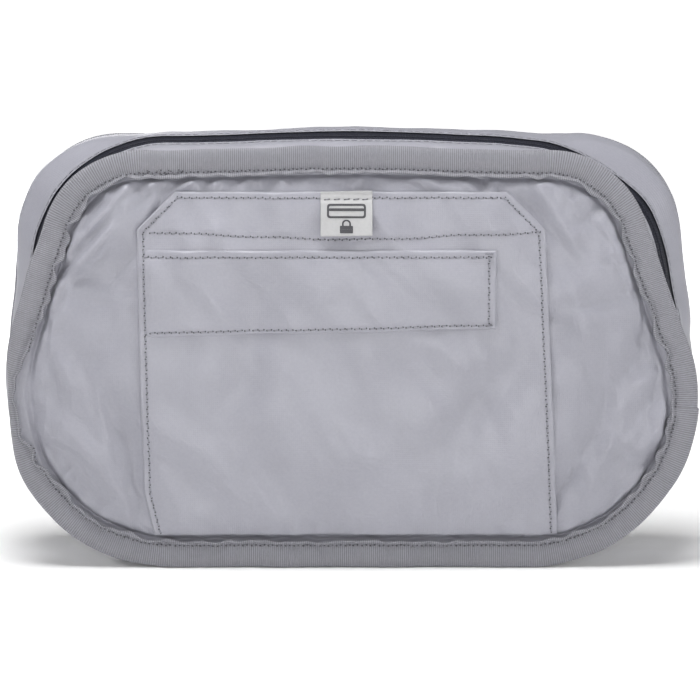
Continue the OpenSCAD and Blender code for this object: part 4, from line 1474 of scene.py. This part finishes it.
def keeper(last):
    """Elastic loop round the folded belt"""
    low_y, high_y = last - BELT_T / 2 - 0.3, BELT_Y + BELT_T / 2 + 0.3
    half_z = (BELT_W + 0.6) / 2
    ring = []
    for grown in (0.0, 1.0):
        centre_y, size_y = (low_y + high_y) / 2, high_y - low_y + 2 * grown
        ring.append(rounded_box(centre_y, BELT_Z, size_y, 2 * (half_z + grown), 0.5 + grown, 48))
    xs = np.linspace(72, 84, 13)
    rows = []
    for line, way in ((ring[1], 1), (ring[0], -1)):
        for x in xs[::way]:
            edge = 0.25 * (abs(x - 78) > 5.5)
            middle = line.mean(0)
            shrunk = middle + (line - middle) * (1 - way * edge * 0.02)
            rows.append(np.column_stack([np.full(len(line), x), shrunk]))
    rows.append(rows[0])
    points = np.array(rows)
    points = np.concatenate([points, points[:, :1]], axis=1)
    u = np.concatenate([xs, xs[::-1], xs[:1]])
    v = np.linspace(0, 80, points.shape[1])
    loop = make_grid("webbing_keeper_elastic", points, ZIP_TAPE, lattice(v, u))
    close_up(loop)
    on_pack(loop, "webbing", "webbing_keeper")


ANCHOR_ROOT_W, ANCHOR_LEN, ANCHOR_LAP = 32.0, 16.0, 12.0


def belt_anchors():
    """Doubled shell fabric that joins the belt's ends to the rear seam; its boxed stitching is not drawn"""
    for side, name in ((-1, "left"), (1, "right")):
        low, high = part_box(f"belt_anchor_{name}")
        root_x = (low[0] if side < 0 else high[0]) / MM
        tip_x = side * (ANCHOR_X - ANCHOR_LAP)
        y = BELT_Y + 2.2
        uu, vv = np.meshgrid(np.linspace(0, 1, 16), np.linspace(-1, 1, 20))
        half = mix(ANCHOR_ROOT_W / 2, BELT_W / 2, uu)
        x = mix(root_x, tip_x, uu)
        z = BELT_Z + vv * half
        puff = 0.25 * ripple(np.stack([x, z], -1), 9, 141)
        edge = 0.8 * (1 - np.clip((1 - np.abs(vv)) * 8, 0, 1)) + 0.2
        outer = np.stack([x, y + 0.9 * (1.2 - edge) + puff, z], -1)
        inner = np.stack([x, y - 0.9 * (1.2 - edge) + puff, z], -1)
        tab = slab(f"belt_anchor_{name}_sewn", inner, outer, SHELL, np.stack([x, z], -1))
        close_up(tab)
        refine(tab)
        on_pack(tab, "shell_fabric", f"belt_anchor_{name}")
        cloth(tab, (ANCHOR_ROOT_W, ANCHOR_LEN), "stretched", [f"belt_webbing_{name}"])


def zip_end_tabs():
    """Folded shell fabric sewn over each end of the zip"""
    for side, name in ((-1, "left"), (1, "right")):
        ys = np.linspace(ZIP_Y - TAPE_HIDDEN, ZIP_Y + TAPE_HIDDEN, 14)
        zs = np.linspace(80, 87.8, 9)
        outer, inner, uv = [], [], []
        for y in ys:
            section = zip_row(y)[1]
            x = side * half_width(section, zs)
            p = np.stack([x, np.full_like(zs, y), zs], -1)
            n = np.array([side * math.cos(ZIP_TILT), -math.sin(ZIP_TILT), 0.0])
            rise = 0.12 * ripple(p, 6, 151) + zip_relief(p)
            outer.append(p + n * (rise - 0.75)[:, None])
            inner.append(p + n * (rise - 1.6)[:, None])
            uv.append(np.stack([np.full_like(zs, y), zs], -1))
        tab = slab(f"zip_end_tab_{name}_sewn", np.array(outer), np.array(inner), SHELL, np.array(uv))
        close_up(tab)
        refine(tab)
        on_pack(tab, "zip_tape", f"zip_end_tab_{name}")


# ---------------------------------------------------------------- stage and light


# Place in metres, side in metres and power in watts
LIGHTS = {
    "top_light": ((-0.1, -0.15, 1.1), 0.6, 12.5),
    "left_light": ((-1.3, -0.8, 0.9), 0.3, 6.4),
    "right_light": ((1.5, -0.6, 0.6), 0.35, 7),
    "front_light": ((0.1, -1.6, 0.35), 0.6, 6.5),
    "rear_light": ((-0.5, 1.6, 0.3), 0.7, 4.5),
}
LIGHTS_AIM = (0, 0, 0.08)
FLOOR_HALF, SKY_R = 20000.0, 15000.0


def area_light(name, place, size, power):
    data = bpy.data.lights.new(name, "AREA")
    data.shape, data.size, data.energy = "SQUARE", size, power
    lamp = bpy.data.objects.new(name, data)
    bpy.context.collection.objects.link(lamp)
    lamp.location = place
    lamp.rotation_euler = (Vector(LIGHTS_AIM) - Vector(place)).to_track_quat("-Z", "Y").to_euler()


def emitter(name):
    n = Nodes(name)
    n.set(Base_Color=(0.9, 0.9, 0.9, 1), Roughness=1.0, Specular_IOR_Level=0.0)
    n.set(Emission_Color=(1, 1, 1, 1), Emission_Strength=1.0)
    return n.material


def studio():
    scene = bpy.context.scene
    scene.view_settings.view_transform = "Standard"
    world = bpy.data.worlds.new("studio")
    scene.world = world
    world.use_nodes = True
    world.node_tree.nodes["Background"].inputs[0].default_value = (1, 1, 1, 1)
    world.node_tree.nodes["Background"].inputs[1].default_value = 0.08
    for name, (place, size, power) in LIGHTS.items():
        area_light(name, place, size, power)
    ends = (-FLOOR_HALF, FLOOR_HALF)
    floor = make_grid("floor", np.array([[(x, y, 0.0) for x in ends] for y in ends]), None)
    n = Nodes("floor_paper")
    far = n.add("VectorMath", operation="LENGTH")
    n.link(n.add("TexCoord").outputs["Object"], far.inputs[0])
    n.paint(n.noise(3.0), [(0.0, (0.88, 0.88, 0.88)), (1.0, (0.9, 0.9, 0.9))])
    # Painted light: the floor glows more the farther it lies from the pack, reaching full strength 1.2 m out,
    # so it fades into the white backdrop while the shade near the pack stays
    painted_glow = n.math("MINIMUM", n.math("DIVIDE", far.outputs["Value"], 1.2), 1.0)
    n.link(painted_glow, n.shader.inputs["Emission Strength"])
    n.set(Roughness=0.9, Specular_IOR_Level=0.0, Emission_Color=(1, 1, 1, 1))
    floor.data.materials.append(n.material)
    turns, levels = np.linspace(0, 2 * math.pi, 49), np.linspace(-0.05, math.pi / 2, 13)
    turn, level = np.meshgrid(turns, levels)
    sky = np.stack([np.cos(level) * np.cos(turn), np.cos(level) * np.sin(turn), np.sin(level)], -1)
    dome = make_grid("backdrop", SKY_R * sky, emitter("backdrop_paper"))
    dome.visible_diffuse = dome.visible_glossy = dome.visible_shadow = False


# ---------------------------------------------------------------- the whole belt


def main():
    lining = front_panel()
    bare = Surface([lining])
    even = bare.smooth(3.0)
    even.grid = np.maximum(even.grid, bare.grid - 0.1) + 0.15
    even = even.smooth(1.2)
    shield_liner(even)
    even.grid += 0.3
    pocket = patch_pocket(even)
    slip = card_slip(pocket, Surface([pocket]).smooth(2.5))
    pocket_stitches(lining, pocket, slip)
    woven_label(pocket)
    front_binding()
    rear_panel()
    rear_binding()
    gusset()
    zip_fastener()
    zip_end_tabs()
    hardware()
    belt()
    belt_anchors()
    studio()


main()
